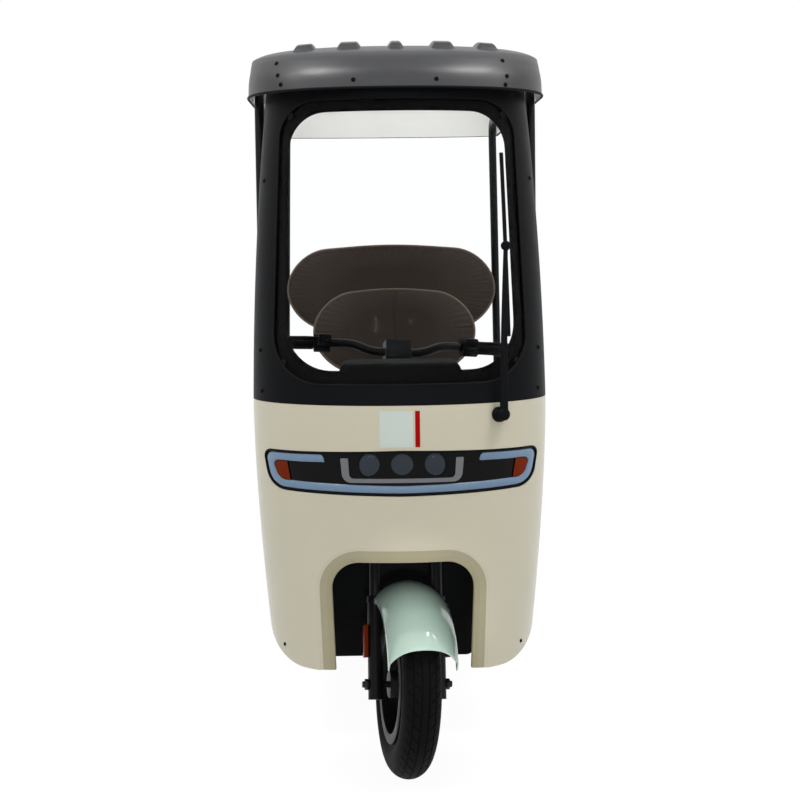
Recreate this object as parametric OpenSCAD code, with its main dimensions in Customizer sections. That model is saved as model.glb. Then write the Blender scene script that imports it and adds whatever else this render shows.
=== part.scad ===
// Electric passenger tricycle: one steered wheel under a moulded cowl, two driven wheels behind,
// a driver's seat and a passenger bench under one roof, open at both sides.
// Millimetres. +Z is up, the front looks along -Y, +X is the vehicle's left side.
// The origin lies on the ground below the middle of the vehicle.

/* [Overall] */
// Length from the cowl's nose to the rear bumper
overall_l = 2050; // [1980:10:2150]
// Width over the rear body
overall_w = 760; // [720:10:820]
// Height to the top of the roof ribs
overall_h = 1735; // [1690:5:1790]
// Gap left between pieces that are fastened together
seat_gap = 0.3; // [0.2:0.1:0.6]

/* [Wheels] */
// Tyre outer diameter
tyre_d = 436; // [424:2:444]
// Tyre section width
tyre_w = 90; // [80:2:96]
// Rim diameter where the tyre beads sit
bead_d = 254; // [240:2:266]
// Distance from the rear axle to the rear end
rear_overhang = 390; // [370:5:410]
// Distance from the nose to the front axle
front_overhang = 240; // [232:2:250]
// Distance from the middle of a rear tyre out to the side of the body
tyre_inset = 70; // [64:1:80]
// Spokes in each wheel
spoke_n = 5; // [3:1:7]
// Width of one spoke
spoke_w = 34; // [24:1:44]

/* [Steering] */
// Lean of the steering axis from the upright
rake = 18; // [15:0.5:20]
// Distance from the steering axis to the front axle
fork_offset = 62; // [54:1:68]
// Angle the front wheel is turned as it stands
steer_rest = 10; // [0:1:15]
// Distance between the fork legs
fork_span = 150; // [144:1:160]
// Radius of the fork sliders
slider_r = 18; // [16:0.5:20]
// Radius of the fork tubes
tube_r = 13; // [11:0.5:14]
// Radius of the steering stem
stem_r = 16; // [14:0.5:18]
// Running clearance of the stem and of the wheels on their shafts
run_gap = 0.05; // [0.03:0.01:0.1]
// Radius of the handlebar tube
bar_r = 11; // [10:0.5:12.5]
// Half-width of the handlebar over its grips
bar_half = 332; // [310:2:345]
// Radius of the hand grips
grip_r = 16.5; // [15:0.5:19]

/* [Front mudguard] */
// Radius of its crown about the axle
guard_r = 244; // [240:1:250]
// Its half-width
guard_half = 80; // [72:1:86]
// Depth of its cheeks below the crown
guard_drop = 58; // [40:1:66]
// Angle of its front lip above the level
guard_lip = 31; // [26:1:40]
// Angle it sweeps over the wheel
guard_sweep = 92; // [70:1:100]

/* [Cowl] */
// Width of the cowl at its top edge
cowl_w = 676; // [640:4:700]
// Height of its top edge
cowl_top_z = 897; // [880:1:910]
// Height of its lower edge
cowl_low_z = 302; // [290:1:320]
// How much each side draws in from the top edge to the lower edge
cowl_taper = 38; // [20:1:50]
// Depth of the rounded nose in plan
nose_depth = 255; // [230:5:270]
// Distance from the nose to the rear edge of the cowl
cowl_l = 325; // [310:5:335]
// Wall of the cowl
cowl_wall = 7; // [5:0.5:9]
// Corner radius at the lower outer corners, seen from the front
cowl_corner = 92; // [70:2:110]
// Half-width of the wheel opening
arch_half = 159; // [150:1:170]
// Height of the top of the wheel opening
arch_top_z = 550; // [530:1:560]
// Width of the recessed band round the wheel opening
band_w = 33; // [24:1:40]
// Depth of the recessed band
band_d = 3; // [2:0.5:4]

/* [Lamp] */
// Half-width of the lamp panel
lamp_half = 311; // [295:1:316]
// Height of the middle of the lamp panel
lamp_z = 750; // [735:1:765]
// Height of the lamp panel
lamp_h = 100; // [84:1:110]
// Width of the light strip
strip_w = 17; // [12:1:22]
// Radius of the three round lenses
lens_r = 30; // [24:0.5:32]
// Distance between neighbouring lenses
lens_pitch = 66; // [64:1:72]

/* [Windscreen] */
// Backward lean of the screen for each millimetre of height
screen_lean = 0.236; // [0.2:0.004:0.26]
// How much each side of the surround draws in at its top
screen_taper = 33; // [20:1:40]
// How far the surround's top edge stands up inside the roof
screen_tuck = 30; // [20:1:36]
// Wall of the surround
screen_wall = 15; // [12:0.5:18]
// Half-width of the glass at its lower edge
glass_half = 288; // [270:1:296]
// Thickness of the glass
glass_t = 5; // [4:0.5:6]
// Width of the ledge that carries the glass
ledge_w = 16; // [10:1:22]

/* [Roof] */
// Half-width of the roof
roof_half = 350; // [344:1:362]
// Length of the roof
roof_l = 1664; // [1600:4:1700]
// Height of the roof from the visor's lower edge to the top of its ribs
roof_h = 143; // [132:1:155]
// Wall of the roof
roof_wall = 6; // [4:0.5:8]
// Height of the ribs on the roof
rib_h = 12; // [6:1:14]
// Length of the ribs
rib_l = 1180; // [900:10:1300]
// Radius of the roof frame tubes
post_r = 12.5; // [10:0.5:14]

/* [Seats and body] */
// Height of the floor
floor_z = 320; // [312:1:328]
// Place of the driver's seat, as a share of the wheelbase
seat_share = 0.352; // [0.34:0.002:0.37]
// Height of the top of the driver's seat box
seat_box_z = 610; // [560:5:650]
// Thickness of the seat cushions
cushion_t = 92; // [70:2:110]
// Height of the rear body's deck
deck_z = 668; // [640:2:690]
// Wall of the rear body
body_wall = 6; // [4:0.5:8]
// Width of the driver's cushion
driver_cushion_w = 430; // [400:2:450]
// Width of the driver's back pad
driver_back_w = 458; // [420:2:480]
// Width of the passenger's back pad
rear_back_w = 672; // [620:2:680]
// Thickness of both back pads
pad_t = 78; // [60:2:90]

/* [Hidden] */
$fn = 48;
nose_y = -overall_l / 2;
wheelbase = overall_l - front_overhang - rear_overhang;
rear_track = overall_w - 2 * tyre_inset;
roof_low_z = overall_h - roof_h;
screen_top_z = roof_low_z + screen_tuck;
tail_y = overall_l / 2;
axle_z = tyre_d / 2;
bead_r = bead_d / 2;
front_axle_y = nose_y + front_overhang;
rear_axle_y = front_axle_y + wheelbase;
cowl_rear_y = nose_y + cowl_l;

// The cowl's shape: half-width and nose position for a height, and one point of its skin.
nose_z = 720;
nose_lean_top = 10;
nose_lean_low = 12;
plan_power = 2.1;
taper_power = 1.6;
function cowl_side(z) = cowl_w / 2 - cowl_taper
    * pow(max(0, (cowl_top_z - z) / (cowl_top_z - cowl_low_z)), taper_power);
function cowl_nose(z) = nose_y + (z > nose_z
    ? nose_lean_top * pow((z - nose_z) / (cowl_top_z - nose_z), 2)
    : nose_lean_low * pow((nose_z - z) / (nose_z - cowl_low_z), 2));
// Point of a rounded plan outline at angle a (-90 to 90), half-width w, depth d, nose at y.
function plan_point(a, w, d, y, power) = [
    w * sign(sin(a)) * pow(abs(sin(a)), 2 / power),
    y + d - d * pow(abs(cos(a)), 2 / power)];
function cowl_point(a, z, o) = concat(
    plan_point(a, cowl_side(z) - o, nose_depth - o, cowl_nose(z) + o, plan_power), [z]);
function cowl_row(z, o, n) = concat(
    [[-cowl_side(z) + o, cowl_rear_y, z]],
    [for (i = [0 : n]) cowl_point(-90 + 180 * i / n, z, o)],
    [[cowl_side(z) - o, cowl_rear_y, z]]);
// Depth of the skin, inset by o, straight behind a point of the front view.
function plan_y(x, w, d, y, power) = y + d
    - d * pow(max(0, 1 - pow(min(1, abs(x) / w), power)), 1 / power);
function cowl_y(x, z, o) = plan_y(x, cowl_side(z) - o, nose_depth - o, cowl_nose(z) + o,
    plan_power);

// The windscreen's shape, which carries on from the cowl's top edge.
screen_low_z = cowl_top_z + seat_gap;
screen_wrap = 318;
function screen_side(z) = cowl_w / 2 - screen_taper
    * pow((z - screen_low_z) / (screen_top_z - screen_low_z), 2);
function screen_nose(z) = cowl_nose(cowl_top_z) + screen_lean * (z - screen_low_z);
function screen_point(a, z, o) = concat(
    plan_point(a, screen_side(z) - o, nose_depth - o, screen_nose(z) + o, plan_power), [z]);
function screen_row(z, o, n) = concat(
    [[-screen_side(z) + o, screen_nose(z) + screen_wrap, z]],
    [for (i = [0 : n]) screen_point(-90 + 180 * i / n, z, o)],
    [[screen_side(z) - o, screen_nose(z) + screen_wrap, z]]);
function screen_y(x, z, o) = plan_y(x, screen_side(z) - o, nose_depth - o,
    screen_nose(z) + o, plan_power);

// A closed sheet between an outer and an inner grid of points.
module sheet(outer, inner) {
    rows = len(outer);
    cols = len(outer[0]);
    size = rows * cols;
    points = concat([for (r = outer) each r], [for (r = inner) each r]);
    function at(i, j) = i * cols + j;
    faces = concat(
        [for (i = [0 : rows - 2]) for (j = [0 : cols - 2]) each [
            [at(i, j), at(i + 1, j), at(i + 1, j + 1)],
            [at(i, j), at(i + 1, j + 1), at(i, j + 1)],
            [size + at(i, j), size + at(i + 1, j + 1), size + at(i + 1, j)],
            [size + at(i, j), size + at(i, j + 1), size + at(i + 1, j + 1)]]],
        [for (j = [0 : cols - 2]) each [
            [at(0, j), at(0, j + 1), size + at(0, j + 1)],
            [at(0, j), size + at(0, j + 1), size + at(0, j)],
            [at(rows - 1, j + 1), at(rows - 1, j), size + at(rows - 1, j)],
            [at(rows - 1, j + 1), size + at(rows - 1, j), size + at(rows - 1, j + 1)]]],
        [for (i = [0 : rows - 2]) each [
            [at(i + 1, 0), at(i, 0), size + at(i, 0)],
            [at(i + 1, 0), size + at(i, 0), size + at(i + 1, 0)],
            [at(i, cols - 1), at(i + 1, cols - 1), size + at(i + 1, cols - 1)],
            [at(i, cols - 1), size + at(i + 1, cols - 1), size + at(i, cols - 1)]]]);
    polyhedron(points, faces);
}

// Points of a polygon whose corners are rounded, each corner as [x, y, radius].
function unit(v) = v / norm(v);
function fillet(a, b, c, n) = let (
    u = unit([a[0] - b[0], a[1] - b[1]]),
    v = unit([c[0] - b[0], c[1] - b[1]]),
    half = acos(min(1, max(-1, u * v))) / 2,
    mid = unit(u + v),
    centre = [b[0], b[1]] + mid * b[2] / sin(half),
    start = [b[0], b[1]] + u * b[2] / tan(half) - centre,
    turn = (u[0] * v[1] - u[1] * v[0] > 0 ? -1 : 1) * (180 - 2 * half))
    b[2] == 0 ? [[b[0], b[1]]] : [for (i = [0 : n]) let (t = turn * i / n)
        centre + [start[0] * cos(t) - start[1] * sin(t), start[0] * sin(t) + start[1] * cos(t)]];
function rounded(p, n = 6) = [for (i = [0 : len(p) - 1]) each
    fillet(p[(i + len(p) - 1) % len(p)], p[i], p[(i + 1) % len(p)], n)];

// A front-view outline pushed through along Y.
module through(y0, y1) {
    translate([0, y1, 0]) rotate([90, 0, 0]) linear_extrude(y1 - y0) children();
}
// A side-view outline, drawn as (y, z), pushed from x0 to x1.
module across(x0, x1) {
    translate([x0, 0, 0]) rotate([90, 0, 90]) linear_extrude(x1 - x0) children();
}
// A rectangle with rounded corners about its middle.
module round_rect(w, h, r) {
    square([w - 2 * r, h], center = true);
    square([w, h - 2 * r], center = true);
    for (x = [-1, 1]) for (y = [-1, 1])
        translate([x * (w / 2 - r), y * (h / 2 - r)]) circle(r);
}
// A round rod between two points, with flat ends.
module rod(a, b, r) {
    d = b - a;
    translate(a) rotate([0, acos(d[2] / norm(d)), atan2(d[1], d[0])]) cylinder(r = r, h = norm(d));
}
// A bent rod through points, with a ball slightly thicker than the rod at each bend.
ball_swell = 1.06;
module bent_rod(points, r) {
    for (i = [0 : len(points) - 2]) rod(points[i], points[i + 1], r);
    for (i = [1 : len(points) - 2]) translate(points[i]) sphere(r * ball_swell);
}
module both_sides() {
    children();
    mirror([1, 0, 0]) children();
}

// The steering frame: its Z runs up the steering axis and the front axle lies at [0, -fork_offset, 0].
module steered(turn = steer_rest) {
    translate([0, front_axle_y, axle_z]) rotate([-rake, 0, 0])
        translate([0, fork_offset, 0]) rotate([0, 0, turn]) children();
}

// Heights along the steering axis.
slider_low = -35;
slider_top = 205;
tube_low = 60;
crown_low = 316;
crown_high = 344;
head_low = crown_high + 2;
head_high = 530;
stem_high = 800;
bar_mid = 818;
bar_end = 846;
bar_sweep = 46;
head_r = 26;
cup_r = 31;
cup_h = 12;
axle_r = 7.5;

// Chassis sizes.
rail_w = 40;
rail_h = 50;
rail_inset = 110;
rail_x = rear_track / 2 - rail_inset;
rail_top = floor_z - 6 - seat_gap;
rail_low = rail_top - rail_h;
cross_h = 30;
cross_w = 30;
sill_inset = 112;
sill_w = 34;
sill_in = overall_w / 2 - sill_inset;
sill_out = sill_in + sill_w;
sill_top = floor_z + 14;
sill_low = floor_z - 30;
shield_t = 7;
knee_y = front_axle_y + 225;
knee_z = 560;
foot_y = front_axle_y + 265;
shield_top_y = cowl_rear_y + seat_gap;
function shield_y(z) = z > knee_z
    ? knee_y + (shield_top_y - knee_y) * (z - knee_z) / (cowl_top_z - knee_z)
    : foot_y + (knee_y - foot_y) * (z - floor_z) / (knee_z - floor_z);
body_front_y = rear_axle_y - 325;
body_rear_y = tail_y - 35;
body_low = rail_top + seat_gap;
neck_r = 20;
neck_foot_y = foot_y + 68;
// How far the edge of a leaning rod's flat end dips below its middle.
function end_dip(a, b, r) = r * norm([b[0] - a[0], b[1] - a[1]]) / norm(b - a);
neck_top = [0, front_axle_y + 213, 640];
neck_foot = [0, neck_foot_y, rail_top];
neck_step = (neck_top - neck_foot) / (neck_top[2] - neck_foot[2]);
neck_low = neck_foot + neck_step * (end_dip(neck_foot, neck_top, neck_r) + seat_gap);
neck_hole = neck_foot - neck_step * 20;
liner_z = arch_top_z + 24;
liner_t = 5;
well_r = axle_z + 36;

// Chassis: two straight rails.
module frame_rails() color("#1c1c1e") both_sides()
    translate([rail_x - rail_w / 2, neck_foot_y - 20, rail_low])
        cube([rail_w, body_rear_y - neck_foot_y, rail_h]);

// Chassis: members between and outside the rails.
cross_y = [neck_foot_y, body_front_y - 190, body_front_y + 40, body_rear_y - 60];
module frame_members() color("#1c1c1e") {
    inner = rail_x - rail_w / 2 - seat_gap;
    for (y = cross_y) translate([-inner, y - cross_w / 2, rail_top - cross_h])
        cube([2 * inner, cross_w, cross_h]);
    both_sides() for (y = [cross_y[0], cross_y[1]])
        translate([rail_x + rail_w / 2 + seat_gap, y - cross_w / 2, rail_top - cross_h])
            cube([sill_in - rail_x - rail_w / 2 - 2 * seat_gap, cross_w, cross_h]);
}

// Chassis: head tube with its bearing cups and the tube down to the first member.
module steering_neck() color("#1c1c1e") difference() {
    union() {
        steered(0) translate([0, 0, head_low]) cylinder(r = head_r, h = head_high - head_low);
        steered(0) translate([0, 0, head_low]) cylinder(r = cup_r, h = cup_h);
        steered(0) translate([0, 0, head_high - cup_h]) cylinder(r = cup_r, h = cup_h);
        rod(neck_top, neck_low, neck_r);
    }
    steered(0) translate([0, 0, head_low - 1]) cylinder(r = stem_r, h = head_high - head_low + 2);
}

module floor_pan() color("#26262a") difference() {
    translate([-sill_in + seat_gap, foot_y + shield_t + seat_gap, floor_z - 6])
        cube([2 * (sill_in - seat_gap), body_front_y - foot_y - shield_t - 2 * seat_gap, 6]);
    rod(neck_top, neck_hole, neck_r + 1);
}

module side_sills() color("#bdb7a5") both_sides()
    translate([0, body_front_y - seat_gap, 0]) rotate([90, 0, 0])
        linear_extrude(body_front_y - seat_gap - foot_y)
            translate([(sill_in + sill_out) / 2, (sill_low + sill_top) / 2])
                round_rect(sill_out - sill_in, sill_top - sill_low, 9);

// The wheel opening seen from the front, grown by g.
function arch_points(g) = rounded([
    [-arch_half + 12 - g, 200, 0], [-arch_half - g, arch_top_z + g, 62 + g],
    [arch_half + g, arch_top_z + g, 62 + g], [arch_half - 12 + g, 200, 0]]);

// The cowl's skin as rows of points from its lower to its top edge.
cowl_levels = [for (i = [0 : 9]) cowl_low_z + (cowl_top_z - cowl_low_z) * i / 9];
cowl_n = 28;
module cowl_skin(outer, inner) sheet(
    [for (z = cowl_levels) cowl_row(z, outer, cowl_n)],
    [for (z = cowl_levels) cowl_row(z, inner, cowl_n)]);
corner_x = cowl_side(cowl_low_z + cowl_corner);
module cowl_corner_cut() both_sides() through(nose_y - 5, cowl_rear_y + 5) difference() {
    translate([corner_x - cowl_corner, cowl_low_z - 5]) square([cowl_corner + 40, cowl_corner + 5]);
    translate([corner_x - cowl_corner, cowl_low_z + cowl_corner]) circle(cowl_corner);
}

// Outline of the lamp panel seen from the front, drawn in by g.
function lamp_points(g) = rounded([
    [-lamp_half + g, lamp_z + lamp_h / 2 - 7 - g, 18 - g / 3],
    [0, lamp_z + lamp_h / 2 - g, 900],
    [lamp_half - g, lamp_z + lamp_h / 2 - 7 - g, 18 - g / 3],
    [lamp_half - 16 - g, lamp_z - lamp_h / 2 + 6 + g, 46 - g],
    [0, lamp_z - lamp_h / 2 + g, 900],
    [-lamp_half + 16 + g, lamp_z - lamp_h / 2 + 6 + g, 46 - g]]);
lamp_n = 24;
lamp_levels = [for (i = [0 : 4]) lamp_z - lamp_h / 2 - 6 + (lamp_h + 12) * i / 4];
module lamp_skin(outer, inner) sheet(
    [for (z = lamp_levels) [for (i = [0 : lamp_n]) cowl_point(-84 + 168 * i / lamp_n, z, outer)]],
    [for (z = lamp_levels) [for (i = [0 : lamp_n]) cowl_point(-84 + 168 * i / lamp_n, z, inner)]]);
front_reach = nose_y - 40;
back_reach = nose_y + 250;

module front_cowl() color("#bdb7a5") difference() {
    cowl_skin(0, cowl_wall);
    cowl_corner_cut();
    through(front_reach, back_reach) polygon(arch_points(0));
    through(front_reach, back_reach) polygon(lamp_points(-seat_gap));
    intersection() {
        through(front_reach, back_reach) polygon(arch_points(band_w));
        sheet([for (z = cowl_levels) cowl_row(z, -4, cowl_n)],
            [for (z = cowl_levels) cowl_row(z, band_d, cowl_n)]);
    }
}

// Height of the row of lenses and depth of the lamp's face.
lens_z = lamp_z + 18;
face_in = 3;
panel_t = 10;
module headlamp_panel() color("#202226") difference() {
    intersection() {
        lamp_skin(face_in, face_in + panel_t);
        through(front_reach, back_reach) polygon(lamp_points(0));
    }
    for (i = [-1 : 1]) translate([i * lens_pitch, 0, lens_z])
        rotate([90, 0, 0]) cylinder(r = lens_r + seat_gap, h = -front_reach);
}

strip_in = 6;
strip_gap_half = 186;
module strip_outline() difference() {
    polygon(lamp_points(strip_in));
    polygon(lamp_points(strip_in + strip_w));
    translate([-strip_gap_half, lamp_z]) square([2 * strip_gap_half, lamp_h]);
}
module light_strip() color("#a8c4d8") intersection() {
    lamp_skin(0, face_in - seat_gap);
    through(front_reach, back_reach) strip_outline();
}

signal_in = 27;
signal_w = 40;
module turn_signals() color("#c2560c") intersection() {
    lamp_skin(0, face_in - seat_gap);
    through(front_reach, back_reach) intersection() {
        polygon(lamp_points(signal_in));
        union() for (s = [-1, 1]) translate([s * (lamp_half - signal_in - 4), lamp_z])
            square([2 * signal_w, lamp_h], center = true);
    }
}

dome_r = 74;
dome_h = 5;
module lamp_lenses() color("#39434d") for (i = [-1 : 1])
    translate([i * lens_pitch, cowl_y(i * lens_pitch, lens_z, 0) + dome_h, lens_z]) rotate([-90, 0, 0]) {
        cylinder(r = lens_r, h = 12);
        intersection() {
            translate([0, 0, dome_r - dome_h]) sphere(dome_r);
            translate([0, 0, -dome_h]) cylinder(r = lens_r - 3, h = dome_h + 1);
        }
    }

trim_half = 142;
trim_leg = 16;
trim_foot = 9;
trim_low = lamp_z - 16;
trim_top = lamp_z + 34;
module lamp_trim() color("#8d9094") intersection() {
    lamp_skin(0, face_in - seat_gap);
    through(front_reach, back_reach) difference() {
        polygon(rounded([[-trim_half, trim_top, 0], [-trim_half + 5, trim_low, 20],
            [trim_half - 5, trim_low, 20], [trim_half, trim_top, 0]]));
        polygon(rounded([[-trim_half + trim_leg, trim_top + 1, 0],
            [-trim_half + trim_leg + 4, trim_low + trim_foot, 10],
            [trim_half - trim_leg - 4, trim_low + trim_foot, 10],
            [trim_half - trim_leg, trim_top + 1, 0]]));
    }
}

// Windscreen: outline of the glass seen from the front, drawn in by g.
glass_low_z = screen_low_z + 42;
glass_top_z = screen_top_z - 50;
glass_draw = 20;
function glass_points(g) = rounded([
    [-glass_half + g, glass_low_z + g, 105 - g],
    [-glass_half + glass_draw + g, glass_top_z - g, 88 - g],
    [glass_half - glass_draw - g, glass_top_z - g, 88 - g],
    [glass_half - g, glass_low_z + g, 105 - g]]);
screen_levels = [for (i = [0 : 6]) screen_low_z + (screen_top_z - screen_low_z) * i / 6];
screen_n = 28;
screen_reach = nose_y + 460;
glass_in = 3;
module screen_skin(outer, inner) sheet(
    [for (z = screen_levels) screen_row(z, outer, screen_n)],
    [for (z = screen_levels) screen_row(z, inner, screen_n)]);

module windscreen_surround() color("#1a1b1e") difference() {
    screen_skin(0, screen_wall);
    through(front_reach, screen_reach) polygon(glass_points(ledge_w));
    intersection() {
        screen_skin(-6, glass_in + glass_t + seat_gap);
        through(front_reach, screen_reach) polygon(glass_points(-seat_gap));
    }
}

module windscreen_glass() color("#c9d3d6") intersection() {
    screen_skin(glass_in, glass_in + glass_t);
    through(front_reach, screen_reach) polygon(glass_points(0));
}

// Wiper: boss square to the cowl's skin, arm and blade over the glass.
wiper_x = 213;
wiper_z = 871;
boss_r = 17;
boss_h = 30;
blade_lift = 14;
arm_lift = 26;
blade_top = [234, screen_y(234, 1448, 0) - blade_lift, 1448];
blade_low = [241, screen_y(241, 1040, 0) - blade_lift, 1040];
arm_end = [238, screen_y(238, 1240, 0) - arm_lift, 1240];
boss_foot = [wiper_x, cowl_y(wiper_x, wiper_z, 0), wiper_z];
boss_turn = atan((cowl_y(wiper_x + 5, wiper_z, 0) - cowl_y(wiper_x - 5, wiper_z, 0)) / 10);
boss_out = [sin(boss_turn), -cos(boss_turn), 0];
module windscreen_wiper() color("#141416") {
    rod(boss_foot + boss_out * 4 * seat_gap, boss_foot + boss_out * boss_h, boss_r);
    rod(boss_foot + boss_out * (boss_h - 9), arm_end, 6);
    translate(arm_end) sphere(11);
    rod(blade_low, blade_top, 5);
}

// Roof: rows of [height, front inset, side inset, rear inset] from the edge to the crown.
roof_nose_y = nose_y + 161;
roof_rear_y = roof_nose_y + roof_l;
roof_high = overall_h - rib_h;
roof_rows = [[0, 0, 0, 0], [0.28, 12, 1, 4], [0.48, 34, 4, 10], [0.62, 58, 6, 24],
    [0.72, 92, 10, 56], [0.85, 176, 44, 130], [0.95, 290, 130, 260], [1, 430, 250, 420]];
roof_front_d = 300;
roof_rear_d = 60;
roof_power = 2.4;
roof_n = 16;
function roof_row(r, drop) = let (
    z = roof_low_z + (roof_high - roof_low_z) * r[0] - drop,
    w = roof_half - r[2],
    fy = roof_nose_y + r[1],
    ry = roof_rear_y - r[3],
    fd = roof_front_d - r[1] * 0.4,
    rd = roof_rear_d - r[3] * 0.1)
    concat(
        [for (i = [0 : roof_n]) concat(plan_point(-90 + 180 * i / roof_n, w, fd, fy, roof_power), [z])],
        [for (i = [0 : roof_n]) let (p = plan_point(90 - 180 * i / roof_n, w, rd, 0, roof_power))
            [p[0], ry - p[1], z]]);
// A solid through closed rows of points, with flat ends.
module loft(rows) {
    n = len(rows[0]);
    m = len(rows);
    faces = concat(
        [for (i = [0 : m - 2]) for (j = [0 : n - 1]) let (k = (j + 1) % n) each [
            [i * n + j, i * n + n + j, i * n + n + k],
            [i * n + j, i * n + n + k, i * n + k]]],
        [[for (j = [0 : n - 1]) j]],
        [[for (j = [0 : n - 1]) m * n - 1 - j]]);
    polyhedron([for (r = rows) each r], faces);
}
module roof_block(lift) translate([0, 0, lift]) loft([for (r = roof_rows) roof_row(r, 0)]);
module roof_hollow() loft(concat(
    [roof_row([-0.05, roof_wall, roof_wall, roof_wall], 0)],
    [for (r = roof_rows) roof_row([r[0], r[1] + roof_wall, r[2] + roof_wall, r[3] + roof_wall],
        r[0] > 0 ? roof_wall * 0.8 : 0)]));
rib_x = [-212, -108, 0, 108, 212];
rib_w = [58, 62, 44, 62, 58];
rib_start = [150, 120, 110, 120, 150];
module roof_panel() color("#2b2c2f") difference() {
    union() {
        roof_block(0);
        intersection() {
            roof_block(rib_h);
            union() for (i = [0 : 4])
                translate([rib_x[i], roof_nose_y + rib_start[i] + rib_l / 2, roof_high - 70])
                    linear_extrude(120) round_rect(rib_w[i], rib_l, 12);
        }
    }
    roof_hollow();
}

// Roof frame: posts beside the screen, rails under the roof edge, posts behind the bench.
frame_z = roof_low_z + 40;
frame_x = roof_half - roof_wall - 2 - post_r - seat_gap;
post_foot = [(sill_in + sill_out) / 2, foot_y + 24, sill_top + seat_gap];
post_knee = [cowl_w / 2 - 38, knee_y + 26, knee_z + 4];
post_low = post_foot + [0, 0, end_dip(post_foot, post_knee, post_r)];
post_cowl = [cowl_w / 2 - 22, shield_top_y + 21, cowl_top_z + 6];
post_top = [frame_x, shield_top_y + 21 + screen_lean * (frame_z - cowl_top_z - 6), frame_z];
rear_post_top = [frame_x, rear_axle_y + 70, frame_z];
rear_post_foot = [overall_w / 2 - 30, rear_axle_y + 140, deck_z + seat_gap];
rear_post_low = rear_post_foot + [0, 0, end_dip(rear_post_foot, rear_post_top, post_r)];
module front_posts() color("#161618") both_sides()
    bent_rod([post_low, post_knee, post_cowl, post_top - unit(post_top - post_cowl) * (post_r + 1)],
        post_r);
module roof_rails() color("#161618") both_sides() difference() {
    rod(post_top + [0, -post_r, 0], rear_post_top + [0, post_r, 0], post_r);
    rod(post_cowl, post_top, post_r + seat_gap);
    rod(rear_post_low, rear_post_top, post_r + seat_gap);
}
module rear_posts() color("#161618") both_sides() rod(rear_post_low,
    rear_post_top - unit(rear_post_top - rear_post_low) * (post_r + 1), post_r);

// Bar that carries the bench's back between the rear posts.
back_bar_z = 1108;
back_t = (back_bar_z - deck_z) / (frame_z - deck_z);
back_bar = rear_post_low + (rear_post_top - rear_post_low) * back_t;
module back_bar_tube() color("#161618") difference() {
    rod([-back_bar[0], back_bar[1], back_bar_z], [back_bar[0], back_bar[1], back_bar_z], post_r);
    both_sides() rod(rear_post_low, rear_post_top, post_r + seat_gap);
}

// Leg shield: one folded sheet behind the cowl, opened for the steering head and the neck.
shroud_half = 70;
slot_half = shroud_half - 12;
slot_low = knee_z - 75;
slot_high = knee_z + 140;
module shield_profile() polygon([
    [shield_y(cowl_top_z), cowl_top_z], [knee_y, knee_z], [foot_y, floor_z - 6],
    [foot_y + shield_t, floor_z - 6], [knee_y + shield_t, knee_z],
    [shield_y(cowl_top_z) + shield_t, cowl_top_z]]);
shield_levels = [for (i = [0 : 6]) floor_z - 6 + (cowl_top_z - floor_z + 6) * i / 6];
module leg_shield() color("#2a2b2f") difference() {
    intersection() {
        across(-cowl_w, cowl_w) shield_profile();
        through(nose_y, 0) polygon(concat(
            [for (z = shield_levels) [cowl_side(z) - 40 + 40 * min(1, (z - floor_z + 6) / 240), z]],
            [for (i = [6 : -1 : 0]) let (z = shield_levels[i])
                [-cowl_side(z) + 40 - 40 * min(1, (z - floor_z + 6) / 240), z]]));
    }
    translate([-slot_half, knee_y - cowl_l / 2, slot_low])
        cube([2 * slot_half, cowl_l, slot_high - slot_low]);
}

// Column shroud: hollow box along the leg shield, closed on top round the stem.
shroud_t = 6;
shroud_top = cowl_top_z - 4;
shroud_back = [[neck_foot_y + 32, floor_z + seat_gap], [front_axle_y + 318, 600],
    [front_axle_y + 352, shroud_top]];
module shroud_profile(t) {
    front = shield_t + seat_gap;
    polygon([[shield_y(floor_z) + front - 2 * t, floor_z + seat_gap - t],
        [shroud_back[0][0] - t, floor_z + seat_gap - t],
        [shroud_back[1][0] - t, 600],
        [shroud_back[2][0] - t, shroud_top - t],
        [shield_y(shroud_top - t) + front - 2 * t, shroud_top - t],
        [knee_y + front - 2 * t, knee_z]]);
}
module column_shroud() color("#232428") difference() {
    across(-shroud_half, shroud_half) shroud_profile(0);
    across(-shroud_half + shroud_t, shroud_half - shroud_t) shroud_profile(shroud_t);
    steered(0) translate([0, 0, head_high]) cylinder(r = stem_r + 6, h = stem_high);
}

// Gap between the cowl's wall and the plates inside it.
inner_gap = 1.8;
// Plate that closes the wheel well above the arch, with a hole for the steering head.
module wheel_well_plate() color("#161618") difference() {
    translate([0, 0, liner_z]) linear_extrude(liner_t) polygon(concat(
        [for (p = cowl_row(liner_z, cowl_wall + inner_gap, cowl_n)) [p[0], p[1]]],
        [for (s = [1, -1]) [s * (cowl_side(liner_z) - cowl_wall - 8), knee_y - 10]]));
    steered(0) translate([0, 0, crown_high - 40]) cylinder(r = cup_r + 6, h = 200);
}

// Dashboard shelf inside the top of the cowl, and the instrument hood on it.
dash_z = cowl_top_z - 12;
dash_t = 8;
module dash_shelf() color("#1b1c1f") translate([0, 0, dash_z]) linear_extrude(dash_t)
    polygon([for (p = cowl_row(dash_z, cowl_wall + inner_gap, cowl_n)) [p[0], p[1]]]);
hood_half = 128;
hood_high = 988;
hood_front = nose_y + 82;
hood_back = nose_y + 240;
module instrument_hood() color("#1d1e21") intersection() {
    across(-200, 200) polygon(rounded([[hood_front, dash_z + dash_t + seat_gap, 0],
        [hood_back + 40, dash_z + dash_t + seat_gap, 0], [hood_back, hood_high - 34, 16],
        [hood_back - 60, hood_high, 14], [hood_front + 20, hood_high - 8, 24]]));
    through(nose_y, 0) polygon(rounded([[-hood_half - 36, dash_z, 0], [-hood_half, hood_high, 26],
        [hood_half, hood_high, 26], [hood_half + 36, dash_z, 0]]));
}

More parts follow.
